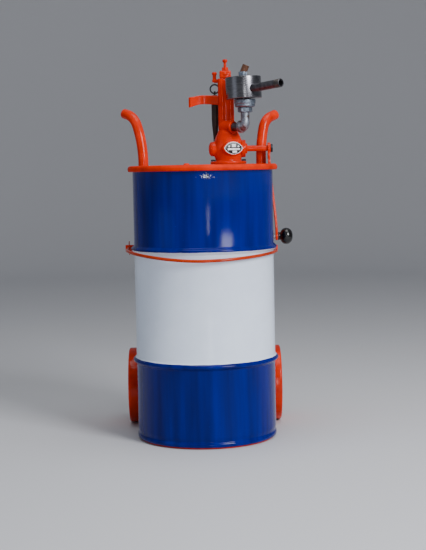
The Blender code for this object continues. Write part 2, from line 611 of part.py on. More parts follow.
def crank():
    head, foot = SHAFT_Z, KNOB_Z
    # the arm's inner side in x and z, from its head down: straight, then spreading outward
    inner = [(ARM_IN, head + 0.004), (ARM_IN, head - 0.030), (ARM_IN + 0.0095, head - 0.085),
             (ARM_IN + 0.0155, head - 0.150), (ARM_IN + ARM_SPREAD, foot + 0.012),
             (ARM_IN + ARM_SPREAD + 0.0005, foot - 0.002)]
    outer = [(x + ARM_THICK, z) for x, z in reversed(inner)]
    front_on = Matrix.Rotation(pi / 2, 4, "X").to_quaternion()
    arm = plate("crank_arm", [inner + outer], ARM_HALF - 0.0015, ORANGE, (0, SHAFT_Y, 0), front_on)
    boss_out = ARM_IN + 0.0075
    join(arm, rod("arm_head", 0.0145, (ARM_IN, SHAFT_Y, head), boss_out - ARM_IN, direction=(1, 0, 0)),
         rod("arm_foot", 0.0110, (ARM_IN + ARM_SPREAD + 0.0001, SHAFT_Y, foot), ARM_THICK, direction=(1, 0, 0)))
    cut(arm, rod("arm_eye", 0.006 + GAP, (ARM_IN - 0.02, SHAFT_Y, head), 0.05, direction=(1, 0, 0)),
        rod("arm_foot_eye", 0.004 + GAP, (ARM_IN, SHAFT_Y, foot), 0.05, direction=(1, 0, 0), sides=16))
    nut_solid("crank_nut", 0.021, 0.0055, (boss_out + GAP, SHAFT_Y, head), (1, 0, 0), 0.006 + GAP, DARK)
    face = ARM_IN + ARM_SPREAD
    turned("knob_spindle", [(0, 0.037), (0.004, 0.037), (0.004, 0.0), (0.004, -0.0006), (0.007, -0.0006),
                            (0.007, -0.0046), (0, -0.0046)], STEEL, (face, SHAFT_Y, foot), (1, 0, 0), steps=20)
    base = face + ARM_THICK + 0.001
    turned("crank_knob", [(0, 0.0385), (0.008, 0.0380), (0.0150, 0.0350), (0.0200, 0.0290), (0.0220, 0.0220),
                          (0.0205, 0.0140), (0.0160, 0.0085), (0.0105, 0.0060), (0.0095, 0.0040), (0.0110, 0.0020),
                          (0.0110, 0.0), (0.0043, 0.0), (0.0043, 0.0325), (0, 0.0325)], PHENOLIC,
           (base, SHAFT_Y, foot), (1, 0, 0), steps=20)


def pump_in_drum():
    turned("pump_cylinder", [(CYL_OUT, CYL_TOP), (CYL_OUT, CYL_LOW), (CYL_IN, CYL_LOW), (CYL_IN, CYL_TOP)], STEEL,
           (RACK_X, CYL_Y, 0), steps=20)
    low = 0.128
    stem = rod("piston_rod", 0.0050, (RACK_X, CYL_Y, low + 0.0260), RACK_LOW - low - 0.0263, STEEL, sides=16)
    join(stem, rod("piston_nut", 0.0085, (RACK_X, CYL_Y, low + 0.0223), 0.0080, sides=6))
    turned("cup_leather", [(0.0160, 0.0220), (0.0177, 0.0220), (0.0177, 0.0103), (0.0070, 0.0103), (0.0070, 0.0122),
                           (0.0160, 0.0122)], LEATHER, (RACK_X, CYL_Y, low), steps=20)
    turned("piston", [(0, 0.022), (0.0065, 0.022), (0.0065, 0.010), (0.0172, 0.010), (0.0172, 0.0), (0.0105, 0.0),
                      (0.0105, 0.006), (0, 0.006)], STEEL, (RACK_X, CYL_Y, low), steps=20)
    turned("foot_valve_body", [(CYL_OUT + 0.003, CYL_LOW - GAP), (CYL_OUT + 0.003, CYL_LOW - 0.018),
                               (0.0130, CYL_LOW - 0.022), (0.0055, CYL_LOW - 0.022), (0.0055, CYL_LOW - 0.017),
                               (0.0105, CYL_LOW - 0.009), (0.0105, CYL_LOW - GAP)], ZINC, (RACK_X, CYL_Y, 0),
           steps=20)
    ball("foot_valve_ball", 0.0075, (RACK_X, CYL_Y, CYL_LOW - 0.0078), STEEL)
    turned("suction_strainer", [(0.0160, CYL_LOW - 0.0225), (0.0160, HEAD_Z + 0.006), (0.0148, HEAD_Z + 0.006),
                                (0.0148, CYL_LOW - 0.0237), (0.0060, CYL_LOW - 0.0237), (0.0060, CYL_LOW - 0.0225)],
           ZINC, (RACK_X, CYL_Y, 0), steps=20)


def elbow_and_pot():
    centre = Vector((ELBOW_X, ELBOW_Y, ELBOW_Z))
    mouth = centre - OUT_DIR * ELBOW_REACH
    nipple = rod("outlet_nipple", NIPPLE_R, centre - OUT_DIR * 0.0540, 0.0425, DARK, direction=OUT_DIR)
    cut(nipple, rod("nipple_way", NIPPLE_BORE, centre - OUT_DIR * 0.07, 0.09, direction=OUT_DIR))
    top = HEX_LOW - GAP
    curve = [mouth + OUT_DIR * 0.003] + [mouth + OUT_DIR * 0.0045]
    curve += bend(curve[-1], OUT_DIR, ELBOW_REACH - 0.0045, (0, 0, 1), 6) + [Vector((ELBOW_X, ELBOW_Y, top))]
    elbow = bent_rod("elbow", curve, 0.0116, GALVANISED)
    join(elbow, rod("elbow_band", 0.0158, mouth, 0.0105, direction=OUT_DIR))
    way = [mouth - OUT_DIR * 0.005] + curve[1:-1] + [Vector((ELBOW_X, ELBOW_Y, top + 0.01))]
    cut(elbow, bent_rod("elbow_way", way, 0.0085), rod("elbow_socket", NIPPLE_R + GAP, mouth - OUT_DIR * 0.01,
                                                       0.0175, direction=OUT_DIR))
    spigot = rod("hex_bushing", hex_radius(0.033), (ELBOW_X, ELBOW_Y, HEX_LOW), HEX_TOP - HEX_LOW - GAP, GALVANISED,
                 sides=6)
    cut(spigot, rod("bushing_way", 0.0085, (ELBOW_X, ELBOW_Y, HEX_LOW - 0.01), 0.05))
    low = HEX_TOP
    turned("reducer", [(0.0255, REDUCER_TOP - GAP), (REDUCER_R, REDUCER_TOP - 0.002), (REDUCER_R, low + 0.010),
                       (0.0262, low + 0.007), (0.0262, low + 0.003), (0.0240, low), (0.0130, low), (0.0130, low + 0.006),
                       (0.0190, low + 0.010), (0.0190, REDUCER_TOP - GAP)], GALVANISED, (ELBOW_X, ELBOW_Y, 0),
           steps=20)
    lean = Vector((sin(POT_LEAN), 0, cos(POT_LEAN)))
    base = Vector((ELBOW_X - 0.0020, ELBOW_Y, REDUCER_TOP + 0.0016))
    tall = POT_TOP - REDUCER_TOP - 0.0016
    pot = turned("canister", [(0.0105, tall + 0.0035), (0.0150, tall + 0.0035), (0.0330, tall + 0.0012),
                              (0.0335, tall), (POT_R - 0.0015, tall), (POT_R, tall - 0.0015), (POT_R, 0.001),
                              (POT_R - 0.001, 0), (0.019, 0), (0.019, POT_WALL), (POT_R - POT_WALL, POT_WALL),
                              (POT_R - POT_WALL, tall - POT_WALL), (0.0105, tall - POT_WALL)], POT_GREY, base, lean,
                 steps=28)
    cut(pot, rod("pipe_hole", NIPPLE_R + GAP, PIPE_ROOT - PIPE_DIR * 0.014, 0.04, direction=PIPE_DIR))
    pipe = rod("outlet_pipe", NIPPLE_R, PIPE_ROOT - PIPE_DIR * 0.010, PIPE_LENGTH, DARK, direction=PIPE_DIR)
    cut(pipe, rod("pipe_way", NIPPLE_BORE, PIPE_ROOT - PIPE_DIR * 0.02, PIPE_LENGTH + 0.03, direction=PIPE_DIR))
    seat = base + lean * (tall + 0.0035 + GAP)
    lean_top = Vector((sin(TOP_LEAN), -0.10, cos(TOP_LEAN))).normalized()
    collar = rod("top_collar", hex_radius(0.0215), seat, 0.0095, GALVANISED, direction=lean, sides=6)
    stub_at = seat + lean * 0.0045
    cut(collar, rod("collar_way", 0.0068, seat - lean * 0.01, 0.03, direction=lean, sides=16),
        rod("collar_socket", STUB_R + GAP, stub_at - lean_top * GAP, 0.03, direction=lean_top, sides=20))
    stub = rod("top_nipple", STUB_R, stub_at, 0.0235, RUSTY, direction=lean_top, sides=20)
    cut(stub, rod("stub_way", STUB_R - 0.0026, stub_at - lean_top * 0.005, 0.04, direction=lean_top, sides=20))
    return pot


def hose_hook():
    """A flat bar on edge that leaves the column and curls towards the operator."""
    thick = 0.006
    start, turn_at = 0.0443, 0.012
    outer = [(start, 0.0)] + arc(0.062, pi / 2, pi / 2 + radians(46), 8, turn_at, -0.062)
    inner = arc(0.062 - thick, pi / 2 + radians(46), pi / 2, 8, turn_at, -0.062) + [(start, -thick)]
    plate("hose_hook", [outer + inner], 0.0130, ORANGE, (0, CYL_Y + 0.003, 0.8665))


def ring_and_grip():
    top, low = 0.941, 0.9145
    lug = turned("ring_lug", [(0, top), (0.0045, top), (0.0065, top - 0.002), (0.0065, top - 0.006),
                              (0.0050, top - 0.009), (0.0050, low + 0.008), (0.0062, low + 0.005), (0.0062, low),
                              (0, low)], ORANGE, (LUG_X, LUG_Y, 0), steps=12)
    toward = Vector((0.0551 - LUG_X, CYL_Y - LUG_Y, 0))
    reach = toward.length - 0.0105 - GAP
    join(lug, rod("lug_arm", 0.0040, (LUG_X, LUG_Y, 0.917), reach, direction=toward, sides=12),
         box("lug_eye", (-0.0025, -0.006, -0.0056), (0.0025, 0.006, 0.0075), at=(LUG_X, LUG_Y, 0.909), bevel=0.001))
    eye_z = RING_Z + RING_R
    cut(lug, rod("lug_hole", RING_WIRE + 0.0007, (LUG_X - 0.02, LUG_Y, eye_z), 0.04, direction=(1, 0, 0), sides=12))
    section = [(RING_R + RING_WIRE * cos(2 * pi * i / 6), RING_WIRE * sin(2 * pi * i / 6)) for i in range(6)]
    ring = turned("hanging_ring", list(reversed(section)), DARK, (LUG_X, LUG_Y, RING_Z), (0, 1, 0), steps=18)
    hole_z = RING_Z - RING_R
    grip = turned("hanging_grip", [(0, -0.0035), (GRIP_R - 0.003, -0.0040), (GRIP_R, -0.0070), (GRIP_R, -0.072),
                                   (GRIP_R - 0.0012, -0.090), (GRIP_R - 0.0036, -0.112), (GRIP_R - 0.0040, -0.132),
                                   (0.003, -0.136), (0, -0.136)], RUBBER, (LUG_X, LUG_Y, hole_z), steps=14)
    join(grip, box("grip_eye", (-0.0025, -0.0055, -0.0060), (0.0025, 0.0055, 0.0058), at=(LUG_X, LUG_Y, hole_z),
                   bevel=0.001))
    cut(grip, rod("grip_hole", RING_WIRE + 0.0007, (LUG_X - 0.02, LUG_Y, hole_z), 0.04, direction=(1, 0, 0),
                  sides=12))
    return ring


drum()
cover()
hand_truck()
wheels()
hoop()
pump_body()
pump_trim()
column_top()
drive()
crank()
pump_in_drum()
elbow_and_pot()
hose_hook()
ring_and_grip()
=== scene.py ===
# Looks for the drum pump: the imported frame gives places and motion, this script gives shapes and finishes.
from math import acos, cos, pi, radians, sin

import bpy
import bmesh
from mathutils import Matrix, Vector


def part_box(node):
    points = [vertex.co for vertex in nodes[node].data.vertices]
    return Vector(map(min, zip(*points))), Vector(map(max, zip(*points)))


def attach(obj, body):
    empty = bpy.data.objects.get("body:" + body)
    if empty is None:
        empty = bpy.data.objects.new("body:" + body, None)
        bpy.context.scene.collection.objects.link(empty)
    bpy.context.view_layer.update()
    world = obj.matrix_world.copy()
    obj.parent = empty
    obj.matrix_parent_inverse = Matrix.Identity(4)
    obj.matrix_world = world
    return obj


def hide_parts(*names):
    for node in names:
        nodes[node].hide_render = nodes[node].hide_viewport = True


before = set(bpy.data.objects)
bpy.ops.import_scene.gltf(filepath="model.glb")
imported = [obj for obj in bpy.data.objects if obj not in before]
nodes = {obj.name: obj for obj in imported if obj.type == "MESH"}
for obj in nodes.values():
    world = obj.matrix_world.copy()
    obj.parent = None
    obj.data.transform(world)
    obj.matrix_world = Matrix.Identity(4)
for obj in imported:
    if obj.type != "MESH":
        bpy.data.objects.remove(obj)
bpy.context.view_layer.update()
mm = 0.001


def middleOf(node):
    low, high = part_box(node)
    return Vector([(a + b) / 2 for a, b in zip(low, high)])


# ---------- materials
def linear(code):
    # sRGB hex to the linear colour that shaders use
    parts = [int(code[i:i + 2], 16) / 255 for i in (1, 3, 5)]
    return tuple(c / 12.92 if c <= 0.04045 else ((c + 0.055) / 1.055) ** 2.4 for c in parts) + (1.0,)


def addNode(tree, kind, settings=None, **sockets):
    # one node, its settings, and its inputs: a value, or an output socket of another node
    node = tree.nodes.new(kind)
    for key, value in (settings or {}).items():
        setattr(node, key, value)
    for key, value in sockets.items():
        index = int(key[1:]) if key[0] == "i" and key[1:].isdigit() else key.replace("_", " ")
        if isinstance(value, bpy.types.NodeSocket):
            tree.links.new(value, node.inputs[index])
        else:
            node.inputs[index].default_value = value
    return node


def newMaterial(name, **shaderValues):
    made = bpy.data.materials.new(name)
    made.use_nodes = True
    tree = made.node_tree
    shader = tree.nodes["Principled BSDF"]
    for key, value in shaderValues.items():
        shader.inputs[key.replace("_", " ")].default_value = value
    place = addNode(tree, "ShaderNodeTexCoord").outputs["Object"]
    return made, tree, shader, place


def noiseAt(tree, place, sizeMm, detail=3.0, rough=0.55, stretch=(1, 1, 1)):
    # noise whose features are about sizeMm across
    spread = addNode(tree, "ShaderNodeMapping", None, Vector=place, Scale=stretch)
    return addNode(tree, "ShaderNodeTexNoise", None, Vector=spread.outputs[0], Scale=1000 / sizeMm,
                   Detail=detail, Roughness=rough).outputs[0]


def ramp(tree, value, stops):
    # a value run through grey or colour stops
    node = addNode(tree, "ShaderNodeValToRGB", None, Fac=value)
    band = node.color_ramp
    while len(band.elements) < len(stops):
        band.elements.new(0.5)
    for element, (at, colour) in zip(band.elements, stops):
        element.position = at
        element.color = colour if not isinstance(colour, float) else (colour, colour, colour, 1.0)
    return node.outputs[0]


def mixColour(tree, factor, first, second, blend="MIX"):
    node = addNode(tree, "ShaderNodeMix", {"data_type": "RGBA", "blend_type": blend}, i0=factor, i6=first,
                   i7=second)
    return node.outputs[2]


def bumpFrom(tree, height, depthMm, normal=None):
    node = addNode(tree, "ShaderNodeBump", None, Height=height, Distance=depthMm * mm, Strength=1.0)
    if normal is not None:
        tree.links.new(normal, node.inputs["Normal"])
    return node.outputs[0]


def wire(tree, shader, **links):
    for key, value in links.items():
        tree.links.new(value, shader.inputs[key.replace("_", " ")])


def makeOrangeEnamel(name, base="#D92B00", deep="#A61A00", coat=0.08, gloss=0.16, dull=(0.12, 0.26)):
    # Brushed-on machinery enamel over sanded castings: wet gloss, faint orange peel, small dull chips
    made, tree, shader, place = newMaterial(name, Metallic=0.0, Specular_IOR_Level=gloss, Coat_Weight=coat,
                                            Coat_Roughness=0.08)
    cloud = noiseAt(tree, place, 38, 4.0)
    colour = mixColour(tree, ramp(tree, cloud, [(0.35, 0.0), (0.72, 0.8)]), linear(base), linear(deep))
    chips = ramp(tree, noiseAt(tree, place, 5.5, 2.0, 0.4), [(0.0, 0.0), (0.765, 0.0), (0.785, 1.0),
                                                             (1.0, 1.0)])
    colour = mixColour(tree, chips, colour, linear("#6E2A12"))
    peel = bumpFrom(tree, noiseAt(tree, place, 2.6, 2.0, 0.45), 0.035)
    rough = ramp(tree, noiseAt(tree, place, 16, 4.0), [(0.3, dull[0]), (0.75, dull[1])])
    wire(tree, shader, Base_Color=colour, Roughness=rough, Normal=bumpFrom(tree, chips, -0.05, peel))
    return made


drumLook = {"whiteTop": 0.4845, "whiteLow": 0.2105, "blue": "#00137C", "blueDeep": "#000C5E",
            "white": "#DFEAF9", "knockGlintSpot": (0.010, -0.1775, 0.6680)}


def makeDrumEnamel():
    # Sprayed gloss enamel in three bands, cobalt, cool white, cobalt: the masked edges wander a little
    made, tree, shader, place = newMaterial("drumGlossEnamel", Metallic=0.0, Specular_IOR_Level=0.14)
    axes = addNode(tree, "ShaderNodeSeparateXYZ", None, Vector=place)
    wander = addNode(tree, "ShaderNodeMath", {"operation": "MULTIPLY_ADD"}, i0=noiseAt(tree, place, 22, 3.0),
                     i1=0.0016, i2=axes.outputs[2]).outputs[0]
    above = addNode(tree, "ShaderNodeMath", {"operation": "GREATER_THAN"}, i0=wander,
                    i1=drumLook["whiteLow"] + 0.0008).outputs[0]
    below = addNode(tree, "ShaderNodeMath", {"operation": "LESS_THAN"}, i0=wander,
                    i1=drumLook["whiteTop"] + 0.0008).outputs[0]
    band = addNode(tree, "ShaderNodeMath", {"operation": "MULTIPLY"}, i0=above, i1=below).outputs[0]
    streaks = noiseAt(tree, place, 24, 3.0, 0.5, (1, 1, 0.06))      # faint vertical runs from the spray gun
    blue = mixColour(tree, ramp(tree, streaks, [(0.35, 0.0), (0.7, 1.0)]), linear(drumLook["blueDeep"]),
                     linear(drumLook["blue"]))
    specks = ramp(tree, noiseAt(tree, place, 3.2, 1.0, 0.3), [(0.0, 0.0), (0.80, 0.0), (0.82, 1.0),
                                                              (1.0, 1.0)])
    blue = mixColour(tree, specks, blue, linear("#06309C"))
    white = mixColour(tree, ramp(tree, noiseAt(tree, place, 60, 4.0), [(0.3, 0.0), (0.8, 1.0)]),
                      linear(drumLook["white"]), linear("#D6E1F1"))
    colour = mixColour(tree, band, blue, white)
    # the knock's place: a real dent in the bump, with its colour partly a painted glint
    knockGlintSpot = drumLook["knockGlintSpot"]
    wide = addNode(tree, "ShaderNodeMapping", None, Vector=place, Scale=(0.36, 1, 1)).outputs[0]
    away = addNode(tree, "ShaderNodeVectorMath", {"operation": "DISTANCE"}, i0=wide,
                   i1=(knockGlintSpot[0] * 0.36, knockGlintSpot[1], knockGlintSpot[2])).outputs[1]
    ragged = addNode(tree, "ShaderNodeMath", {"operation": "MULTIPLY_ADD"}, i0=noiseAt(tree, place, 4.0, 3.0),
                     i1=0.030, i2=away).outputs[0]
    knockAndGlint = ramp(tree, ragged, [(0.0, 1.0), (0.0185, 1.0), (0.0195, 0.0),
                                 (1.0, 0.0)])   # a knock under the cover, with near-black flecks and painted white glint flecks in it
    # inside the knock: near-black flecks, and near-white flecks that are a painted glint, not paint
    colour = mixColour(tree, knockAndGlint, colour, mixColour(tree, ramp(tree, noiseAt(tree, place, 3.0, 1.0),
                       [(0.48, 0.0), (0.5, 1.0)]), linear("#090C1C"), linear("#E9ECF2")))
    peel = bumpFrom(tree, noiseAt(tree, place, 7.0, 2.0, 0.4), 0.05)
    waves = bumpFrom(tree, noiseAt(tree, place, 90, 2.0, 0.4, (1, 1, 0.35)), 0.55,
                     peel)   # the sheet isn't true
    rough = ramp(tree, noiseAt(tree, place, 45, 4.0), [(0.3, 0.10), (0.8, 0.22)])
    wire(tree, shader, Base_Color=colour, Roughness=rough, Normal=bumpFrom(tree, knockAndGlint, -0.4, waves))
    return made


def makeMetal(name, light, dark, sizeMm, roughLow, roughHigh, bumpMm, metallic=1.0, stain=None):
    # cast, plated or machined metal: two tones of one alloy, uneven polish, and a stain where one is given
    made, tree, shader, place = newMaterial(name, Metallic=metallic)
    tone = ramp(tree, noiseAt(tree, place, sizeMm, 4.0), [(0.3, 0.0), (0.7, 1.0)])
    colour = mixColour(tree, tone, linear(dark), linear(light))
    if stain:
        blot = ramp(tree, noiseAt(tree, place, sizeMm * 2.3, 5.0, 0.65), [(0.52, 0.0), (0.66, 0.85)])
        colour = mixColour(tree, blot, colour, linear(stain))
    rough = ramp(tree, noiseAt(tree, place, sizeMm * 0.6, 3.0), [(0.3, roughLow), (0.75, roughHigh)])
    wire(tree, shader, Base_Color=colour, Roughness=rough,
         Normal=bumpFrom(tree, noiseAt(tree, place, sizeMm * 0.35, 3.0), bumpMm))
    return made


def makeTurnedIron():
    # Turned grey iron: tool lines run round the canister, satin, with a darker oily film in patches
    made, tree, shader, place = newMaterial("turnedGreyIron", Metallic=1.0)
    lines = noiseAt(tree, place, 1.3, 2.0, 0.5, (0.02, 0.02, 1.0))
    film = ramp(tree, noiseAt(tree, place, 30, 4.0), [(0.35, 0.0), (0.75, 1.0)])
    colour = mixColour(tree, film, linear("#838387"), linear("#5E5E63"))
    rough = ramp(tree, lines, [(0.3, 0.22), (0.7, 0.30)])
    wire(tree, shader, Base_Color=colour, Roughness=rough, Normal=bumpFrom(tree, lines, 0.012))
    return made


def makeDull(name, light, dark, sizeMm, roughLow, roughHigh, bumpMm, sheen=0.0):
    # a plastic, rubber, leather or cork: not a metal, two tones, and a fine grain
    made, tree, shader, place = newMaterial(name, Metallic=0.0, IOR=1.5)
    tone = ramp(tree, noiseAt(tree, place, sizeMm, 4.0), [(0.3, 0.0), (0.7, 1.0)])
    rough = ramp(tree, noiseAt(tree, place, sizeMm * 1.7, 3.0), [(0.3, roughLow), (0.75, roughHigh)])
    shader.inputs["Coat Weight"].default_value = sheen
    shader.inputs["Coat Roughness"].default_value = 0.15
    wire(tree, shader, Base_Color=mixColour(tree, tone, linear(dark), linear(light)), Roughness=rough,
         Normal=bumpFrom(tree, noiseAt(tree, place, sizeMm * 0.3, 3.0), bumpMm))
    return made


orangeEnamel = makeOrangeEnamel("orangeEnamel")
coverEnamel = makeOrangeEnamel("rubbedCoverEnamel", coat=0.0, gloss=0.05,
                               dull=(0.42, 0.56))   # wiped flat by rags
hoopEnamel = makeOrangeEnamel("hoopEnamel", "#B93408", "#8A2203", 0.1)      # thinner, rubbed paint on the rod
drumEnamel = makeDrumEnamel()
turnedIron = makeTurnedIron()
galvanised = makeMetal("hotDipZinc", "#8F9BA9", "#626D79", 5.0, 0.38, 0.56, 0.06, 0.85)   # spangled zinc
elbowZinc = makeMetal("stainedZinc", "#A2ABB6", "#6B7078", 6.0, 0.38, 0.60, 0.08, 0.85, "#5A4334")
blackPipe = makeMetal("blackIronPipe", "#6C6B71", "#414045", 9.0, 0.36, 0.52, 0.05, 0.9)
pipeThread = makeMetal("wornThread", "#6E6862", "#37332F", 3.0, 0.40, 0.58, 0.05, 0.95)
rustyIron = makeMetal("rustyIron", "#7A4F38", "#3D261B", 3.0, 0.62, 0.85, 0.15, 0.35, "#2B1A12")
darkSteel = makeMetal("oiledSteel", "#4B4B50", "#232327", 4.0, 0.34, 0.52, 0.03)
brightSteel = makeMetal("machinedSteel", "#B9B9BC", "#8E8E92", 4.0, 0.25, 0.40, 0.02)
zincSteel = makeMetal("zincPlate", "#B4B5B4", "#8D8E8C", 4.0, 0.30, 0.45, 0.02)
phenolic = makeDull("mouldedPhenolic", "#070708", "#020203", 8.0, 0.16, 0.28, 0.01, 0.05)
agedRubber = makeDull("agedRubber", "#2A1A14", "#120D0B", 10.0, 0.50, 0.72, 0.08)
oiledLeather = makeDull("oiledLeather", "#5B3A22", "#38220F", 3.0, 0.5, 0.7, 0.1)
pressedCork = makeDull("pressedCork", "#A27B4F", "#6E4E2E", 2.0, 0.75, 0.9, 0.15)
plateSilver = makeMetal("etchedAluminium", "#D5D6D8", "#ABACAE", 3.0, 0.28, 0.42, 0.01, 0.9)
plateBlack = makeDull("plateFill", "#0C0C0D", "#050505", 3.0, 0.30, 0.45, 0.01)
print("materials made")


# ---------- shape helpers
parts = bpy.data.collections.new("drumPumpLooks")
bpy.context.scene.collection.children.link(parts)


def newObject(name, mesh, paint, body="root", stands=(), sharp=35):
    # a finished piece: painted, smooth, riding on its body
    mesh.materials.clear()
    mesh.materials.append(paint)
    mesh.shade_smooth()
    mesh.set_sharp_from_angle(angle=radians(sharp))
    piece = bpy.data.objects.new(name, mesh)
    parts.objects.link(piece)
    if body:
        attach(piece, body)
    if stands:
        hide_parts(*stands)
    return piece


def meshFrom(shape, name="shape"):
    bmesh.ops.recalc_face_normals(shape, faces=shape.faces)
    mesh = bpy.data.meshes.new(name)
    shape.to_mesh(mesh)
    shape.free()
    return mesh


def aim(at, direction):
    # the matrix that takes the origin to at and +Z to a direction
    turn = Vector((0, 0, 1)).rotation_difference(Vector(direction)).to_matrix().to_4x4()
    return Matrix.Translation(Vector(at)) @ turn


def softened(outline, closed):
    # (radius, height, fillet) points with each corner that has a fillet made an arc of short chords
    count = len(outline)
    smooth = []
    for i, (r, z, fillet) in enumerate(outline):
        here = Vector((r, z))
        if fillet == 0 or (not closed and i in (0, count - 1)):
            smooth.append(here)
            continue
        before = Vector(outline[i - 1][:2])
        after = Vector(outline[(i + 1) % count][:2])
        reach = min(fillet, (before - here).length * 0.48, (after - here).length * 0.48)
        start = here + (before - here).normalized() * reach
        end = here + (after - here).normalized() * reach
        for step in range(5):
            t = step / 4
            smooth.append(start * (1 - t) ** 2 + here * 2 * t * (1 - t) + end * t ** 2)
    return smooth


def turnedMesh(outline, steps=96, closed=True, matrix=None):
    # turns an outline about Z; an open outline begins and ends on the axis
    points = softened(outline, closed)
    shape = bmesh.new()
    rows = []
    for point in points:
        if point.x < 1e-7:
            rows.append([shape.verts.new((0, 0, point.y))])
        else:
            rows.append([shape.verts.new((point.x * cos(2 * pi * i / steps),
                                          point.x * sin(2 * pi * i / steps), point.y)) for i in range(steps)])
    pairs = zip(rows, rows[1:] + rows[:1]) if closed else zip(rows, rows[1:])
    for first, second in pairs:
        for i in range(steps):
            j = (i + 1) % steps
            ring = [first[i % len(first)], first[j % len(first)], second[j % len(second)],
                    second[i % len(second)]]
            ring = list(dict.fromkeys(ring))
            if len(ring) > 2:
                shape.faces.new(ring)
    bmesh.ops.remove_doubles(shape, verts=shape.verts, dist=1e-7)
    if matrix is not None:
        shape.transform(matrix)
    return meshFrom(shape)


def boxMesh(low, high, bevel=0.0, matrix=None, segments=3):
    shape = bmesh.new()
    size = [b - a for a, b in zip(low, high)]
    middle = [(a + b) / 2 for a, b in zip(low, high)]
    bmesh.ops.create_cube(shape, size=1.0, matrix=Matrix.Translation(middle) @ Matrix.Diagonal((*size, 1.0)))
    if bevel:
        bmesh.ops.bevel(shape, geom=shape.edges[:], offset=bevel, segments=segments, affect="EDGES",
                        profile=0.5)
    if matrix is not None:
        shape.transform(matrix)
    return meshFrom(shape)


def hexMesh(across, height, bore, matrix, chamfer=0.0009):
    # a nut or hex fitting with its corners turned off top and bottom, and a round bore
    sides, corner = 60, across / 2 / cos(pi / 6)
    shape = bmesh.new()

    def ringAt(z, limit):
        ring = []
        for i in range(sides):
            angle = 2 * pi * i / sides
            flat = across / 2 / cos((angle + pi / 6) % (pi / 3) - pi / 6)
            radius = min(flat, limit)
            ring.append(shape.verts.new((radius * cos(angle), radius * sin(angle), z)))
        return ring
    rows = [ringAt(0, bore), ringAt(0, across / 2 * 0.985), ringAt(chamfer, corner * 1.01),
            ringAt(height - chamfer, corner * 1.01), ringAt(height, across / 2 * 0.985),
            ringAt(height, bore)]
    for first, second in zip(rows, rows[1:] + rows[:1]):
        for i in range(sides):
            shape.faces.new((first[i], first[(i + 1) % sides], second[(i + 1) % sides], second[i]))
    shape.transform(matrix)
    return meshFrom(shape)


def extruded(outline, half, matrix, bevel=0.0006, segments=2):
    # a flat outline given both thickness and small round edges
    shape = bmesh.new()
    base = [shape.verts.new((x, y, -half)) for x, y in outline]
    face = shape.faces.new(base)
    grown = bmesh.ops.extrude_face_region(shape, geom=[face])
    tops = [vert for vert in grown["geom"] if isinstance(vert, bmesh.types.BMVert)]
    bmesh.ops.translate(shape, vec=(0, 0, 2 * half), verts=tops)
    rim = [e for e in shape.edges if abs(e.verts[0].co.z - e.verts[1].co.z) < 1e-9]
    if bevel:
        bmesh.ops.bevel(shape, geom=rim, offset=bevel, segments=segments, affect="EDGES", profile=0.5,
                        clamp_overlap=True)
    shape.transform(matrix)
    return meshFrom(shape)


def joined(meshes):
    # several closed meshes as one
    shape = bmesh.new()
    for mesh in meshes:
        shape.from_mesh(mesh)
    mesh = bpy.data.meshes.new("joined")
    shape.to_mesh(mesh)
    shape.free()
    return mesh


def arc(radius, first, last, count, x=0.0, y=0.0):
    step = (last - first) / count
    return [(x + radius * cos(first + step * i),
             y + radius * sin(first + step * i)) for i in range(count + 1)]


def solved(mesh, changes):
    # runs modifiers on a mesh and returns the plain result
    holder = bpy.data.objects.new("holder", mesh)
    parts.objects.link(holder)
    helpers = []
    for kind, values in changes:
        change = holder.modifiers.new("change", kind)
        for key, value in values.items():
            if isinstance(value, bpy.types.Mesh):
                helper = bpy.data.objects.new("helper", value)
                parts.objects.link(helper)
                helpers.append(helper)
                value = helper
            setattr(change, key, value)
    bpy.context.view_layer.update()
    result = bpy.data.meshes.new_from_object(holder.evaluated_get(bpy.context.evaluated_depsgraph_get()))
    for thing in [holder] + helpers:
        bpy.data.objects.remove(thing, do_unlink=True)
    return result


def less(mesh, *cutters, solver="EXACT"):
    return solved(mesh, [("BOOLEAN", {"operation": "DIFFERENCE", "solver": solver, "object": cutter})
                         for cutter in cutters])


def rodMesh(radius, start, direction, length, sides=64):
    start = Vector(start)
    shape = bmesh.new()
    bmesh.ops.create_cone(shape, cap_ends=True, segments=sides, radius1=radius, radius2=radius, depth=length,
                          matrix=aim(start, direction) @ Matrix.Translation((0, 0, length / 2)))
    return meshFrom(shape)


def strapLoop(centre, across, upward, halfAcross, halfUp, edge):
    # the eight corners of a bar's section, its edges cut back
    loop = []
    for sideA, sideB, first in ((-1, -1, 0), (1, -1, 1), (1, 1, 0), (-1, 1, 1)):
        pair = [(sideA * halfAcross, sideB * (halfUp - edge)), (sideA * (halfAcross - edge), sideB * halfUp)]
        loop += [centre + across * a + upward * b for a, b in (pair[::-1] if first else pair)]
    return loop


def loftMesh(loops):
    shape = bmesh.new()
    rows = [[shape.verts.new(point) for point in loop] for loop in loops]
    for first, second in zip(rows, rows[1:]):
        count = len(first)
        for k in range(count):
            shape.faces.new((first[k], first[(k + 1) % count], second[(k + 1) % count], second[k]))
    shape.faces.new(rows[0])
    shape.faces.new(rows[-1][::-1])
    return meshFrom(shape)


# ---------- geometry nodes
def newTree(name, inputs):
    tree = bpy.data.node_groups.new(name, "GeometryNodeTree")
    tree.interface.new_socket("Geometry", in_out="INPUT", socket_type="NodeSocketGeometry")
    for label, kind in inputs:
        tree.interface.new_socket(label, in_out="INPUT", socket_type=kind)
    tree.interface.new_socket("Geometry", in_out="OUTPUT", socket_type="NodeSocketGeometry")
    given = addNode(tree, "NodeGroupInput")
    return tree, given


def endTree(tree, geometry, paint):
    real = addNode(tree, "GeometryNodeRealizeInstances", None, Geometry=geometry)
    painted = addNode(tree, "GeometryNodeSetMaterial", None, Geometry=real.outputs[0], Material=paint)
    addNode(tree, "NodeGroupOutput", None, i0=painted.outputs[0])
    return tree


